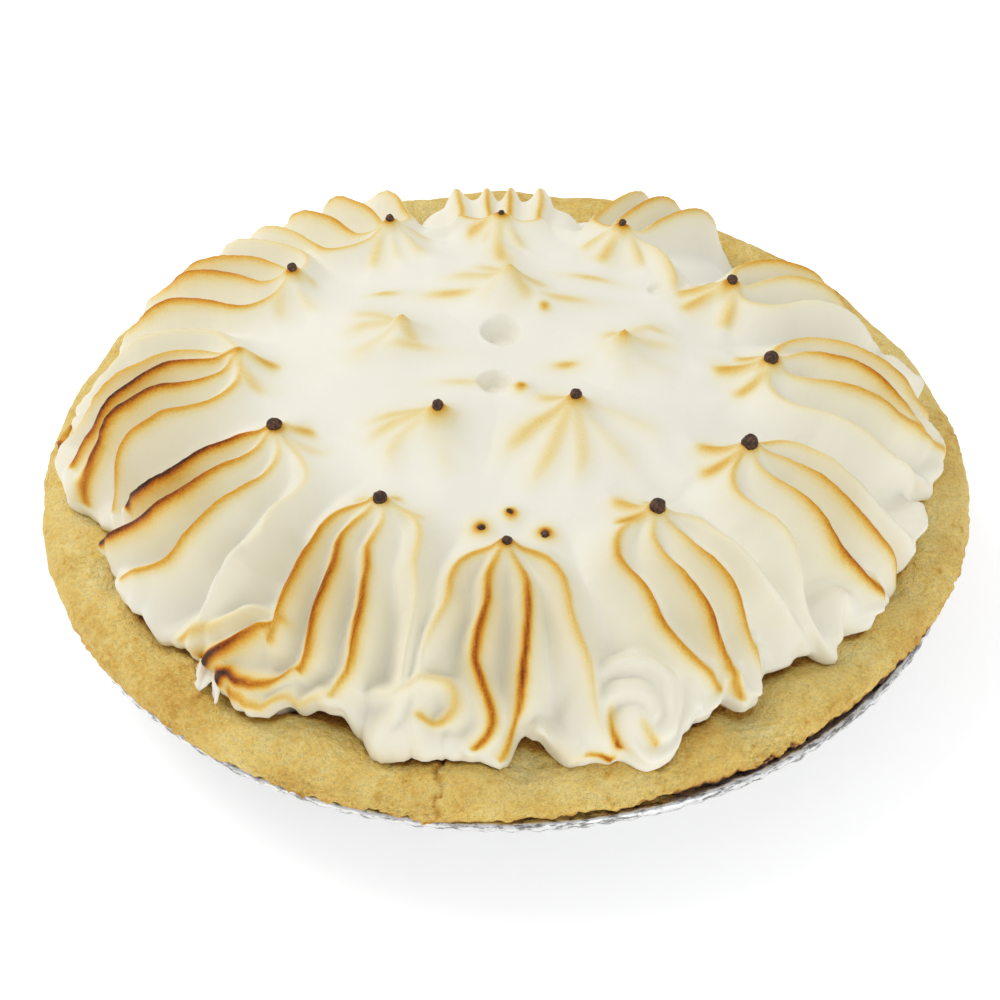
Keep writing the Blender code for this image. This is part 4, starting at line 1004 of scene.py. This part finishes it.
shader.inputs["Specular IOR Level"].default_value = 0.22

meringue = skinned("piped_meringue", skin_rings, whipped, skin_toast)
meringue.data.attributes.new("toast", "FLOAT", "POINT").data.foreach_set("value", skin_toast)
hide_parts("meringue")
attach(meringue, "root")

# Painted shade: the crust is darkened just inside the meringue's foot, where the foot's shadow falls and
# shows through the lifted gaps.
crust_points = np.empty(3 * len(crust.data.vertices))
crust.data.vertices.foreach_get("co", crust_points)
crust_points = crust_points.reshape(-1, 3)
crust_browning_light_and_shade = np.empty(len(crust_points))
crust.data.attributes["baked"].data.foreach_get("value", crust_browning_light_and_shade)
crust_bearing = np.arctan2(crust_points[:, 1], crust_points[:, 0])
edge = np.interp(crust_bearing, fine_bearing, foot_radius, period=2 * math.pi)
inside = edge - np.hypot(crust_points[:, 0], crust_points[:, 1])
# Painted shade under the foot's edge, added to the crust's browning.
crust_browning_light_and_shade += 0.7 * eased(0.5 * MM, 3.0 * MM, inside)
crust.data.attributes["baked"].data.foreach_set("value", crust_browning_light_and_shade)

# ==== Torn scraps =============================================================================
# Thin edges that tore loose at the foot as the bag was pulled away, then curled and burnt: drips
# of caramel, flakes and scraps of the same egg white, stuck to the side where they fell.

# path: the middle of each scrap as (bearing in degrees, radius, height, half its width, mm).
# ridges: how many run along it.  depth: how deep the grooves between them are, of its width.
# twist: how far they wind round it, radians.  flat: its thickness, of its width.  brown: at its
# start and its end.
SCRAPS = [
    dict(name="burnt_flake", ridges=0, depth=0.5, twist=0.0, brown=(1.0, 0.8), path=(
        (178.3, 110.8, 45.2, 0.4), (179.6, 112.0, 44.2, 0.9), (181.8, 112.2, 43.0, 1.0),
        (183.4, 111.4, 41.4, 0.4))),
    dict(name="caramel_drip", ridges=1, depth=0.5, twist=0.4, brown=(0.7, 0.75), path=(
        (-58.2, 93, 51, 0.5), (-58.8, 96, 46, 1.3), (-58.6, 98, 41.5, 1.5), (-59.2, 100.5, 37.5, 0.7))),
    dict(name="foot_bead", ridges=2, depth=0.3, twist=0.8, brown=(0.7, 0.5), path=(
        (-91.5, 98, 41, 1.4), (-93, 100.5, 39, 2.0), (-95, 101.5, 37.3, 2.2), (-96.5, 101, 36.5, 1.0))),
    dict(name="foot_bead_low", ridges=2, depth=0.3, twist=0.8, brown=(0.35, 0.25), path=(
        (-88.5, 100, 38.5, 1.6), (-90.5, 102, 37, 2.4), (-92.5, 103, 36.3, 1.8), (-94, 103, 36, 0.8))),
    dict(name="curled_edge", ridges=1, depth=0.5, twist=1.6, brown=(0.6, 0.8), path=(
        (3.6, 110.5, 43.6, 0.7), (2.4, 111.8, 42.2, 1.3), (1.2, 112.8, 40.8, 1.2), (0.0, 113.3, 39.4, 0.6))),
    dict(name="torn_scrap", ridges=3, depth=0.6, twist=1.5, flat=0.5, brown=(0.3, 0.0), path=(
        (-132.0, 103.5, 40.2, 2.6), (-131.4, 105.6, 39.2, 2.8), (-130.8, 107.4, 38.5, 2.2),
        (-130.3, 109.0, 38.0, 1.0))),
    dict(name="torn_scrap_low", ridges=2, depth=0.6, twist=-1.5, flat=0.5, brown=(0.0, 0.0), path=(
        (-129.5, 104.5, 39.8, 2.2), (-128.6, 106.6, 39.0, 2.4), (-127.8, 108.4, 38.4, 1.9),
        (-127.2, 109.8, 38.0, 0.9))),
]
SCRAP_STEP = 0.6 * MM


def scrap(name, path, ridges, depth, twist, brown, flat=1.0):
    """One scrap's mesh: a body swept along its path, ridged lengthwise and closed at both ends."""
    bearing, reach, level, width = np.array(path, dtype=float).T
    knots = np.column_stack([placed(reach, np.radians(bearing), level), width]) * MM
    length = np.linalg.norm(np.diff(knots[:, :3], axis=0), axis=1).sum()
    line = rounded(knots, max(12, int(length / SCRAP_STEP)))
    middle, half = line[:, :3], np.maximum(line[:, 3], 0.2 * MM)
    sides = int(np.clip(2 * math.pi * half.max() / SCRAP_STEP, 14, 90))
    angle = np.arange(sides) * 2 * math.pi / sides
    ahead = np.gradient(middle, axis=0)
    ahead /= np.linalg.norm(ahead, axis=1)[:, None]
    out = middle * np.array([1.0, 1.0, 0.0])
    out = out / np.linalg.norm(out, axis=1)[:, None] + np.array([0.0, 0.0, 0.8])
    aside = np.cross(out, ahead)
    aside /= np.linalg.norm(aside, axis=1)[:, None]
    up = np.cross(ahead, aside)
    rings = [middle[:1] - ahead[:1] * half[0]]
    toasts = [np.zeros(1)]
    for i in range(len(middle)):
        share = i / (len(middle) - 1)
        crest = (0.5 + 0.5 * np.cos(ridges * angle + twist * share)) ** 1.6
        reach = half[i] * (1.0 - depth + depth * crest * 1.6)
        ring = (middle[i] + np.cos(angle)[:, None] * up[i] * flat * reach[:, None]
                + np.sin(angle)[:, None] * aside[i] * reach[:, None])
        bend = grain(ring, 4 * MM, 11.0) * 0.25 + grain(ring, 1.5 * MM, 12.0) * 0.30
        ring += (ring - middle[i]) * bend[:, None]
        rings.append(ring)
        patchy = 0.55 + 0.45 * eased(-0.3, 0.3, grain(ring, 7 * MM, 13.0))
        toasts.append((brown[0] + (brown[1] - brown[0]) * share) * crest ** 3 * patchy)
    rings.append(middle[-1:] + ahead[-1:] * half[-1])
    toasts.append(np.full(1, brown[1] * 0.8))
    piece = skinned(name, rings, whipped)
    piece.data.attributes.new("toast", "FLOAT", "POINT").data.foreach_set("value", np.concatenate(toasts))
    return piece


scraps = [scrap(**shape) for shape in SCRAPS]
for piece in scraps:
    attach(piece, "root")
# ==== Burnt tips ==============================================================================
# The very end of each pulled peak, a bead of sugar and egg white charred by the flame, still
# joined to its peak.

# Each bead as (bearing in degrees, distance from the middle in mm, radius in mm).
OUTER_TIPS = (1.2, 1.9, 2.0, 1.8, 1.4, 1.0, 0.8, 1.0, 1.2, 0.0, 1.8, 1.7)
TIPS = [(star["bearing"], OUTER_RING / MM + star["out"], size)
        for star, size in zip(STARS, OUTER_TIPS) if size]
TIPS += [(-122, 29.2, 1.4), (-48, 26.6, 1.4), (-95, 58.6, 0.9), (-87.8, 53.6, 0.8), (-80.2, 60.2, 1.1)]

charred, shader, place = new_finish("charred_sugar", 0.6)
specks = mottle(place, 1100.0, 4.0, 0.7)
black, brown = (*hue(38, 22, 12), 1.0), (*hue(112, 66, 34), 1.0)
feed(shader, "Base Color", blend(ramped(specks, 0.42, 0.66), black, brown))
feed(shader, "Normal", bumps(specks, 0.6, 0.3 * MM))

skin_points = np.concatenate(skin_rings)
seats = []
sizes = []
for tip_bearing, tip_radius, size in TIPS:
    a = math.radians(tip_bearing)
    away = np.hypot(skin_points[:, 0] - tip_radius * MM * math.cos(a),
                    skin_points[:, 1] - tip_radius * MM * math.sin(a))
    top = np.argmax(np.where(away < 1.4 * MM, skin_points[:, 2], 0.0))
    seats.append(skin_points[top] - np.array([0, 0, 0.35 * size * MM]))
    sizes.append(size)
seat_mesh = bpy.data.meshes.new("burnt_tips")
seat_mesh.from_pydata([tuple(seat) for seat in seats], [], [])
seat_mesh.attributes.new("size", "FLOAT", "POINT").data.foreach_set("value", sizes)
tips = bpy.data.objects.new("burnt_tips", seat_mesh)
bpy.context.scene.collection.objects.link(tips)

tree, given = geometry_tree("beads_on_peaks", ["Bead", "Roughness", "Lumps"])
ball = given["Bead"].add("GeometryNodeMeshIcoSphere", "Mesh", {}, {"Radius": given["Bead"],
                                                                    "Subdivisions": 4})
size = ball.add("GeometryNodeInputNamedAttribute", "Attribute", {"data_type": "FLOAT"}, {"Name": "size"})
turn = ball.add("FunctionNodeRandomValue", "Value", {"data_type": "FLOAT_VECTOR"},
                {"Max": (6.0, 6.0, 6.0), "Seed": 4})
set_down = ball.add("GeometryNodeInstanceOnPoints", 0, {},
                    {"Points": given["Geometry"], "Instance": ball, "Rotation": turn,
                     "Scale": joined(ball, size, size, size * 1.1)})
real = ball.add("GeometryNodeRealizeInstances", 0, {}, {0: set_down})
here = ball.add("GeometryNodeInputPosition", 0)
shove = given["Roughness"] * (mottle(here, given["Lumps"], 3.0, 0.6) - 0.5)
facing = here.add("GeometryNodeInputNormal", 0)
lumpy = here.add("GeometryNodeSetPosition", 0, {}, {"Geometry": real, "Offset": scaled(facing, shove)})
deliver(tree, lumpy, given["Finish"])
worked(tips, tree, {"Bead": 1.0 * MM, "Roughness": 1.3 * MM, "Lumps": 420.0, "Finish": charred})
tips.data.shade_smooth()
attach(tips, "root")
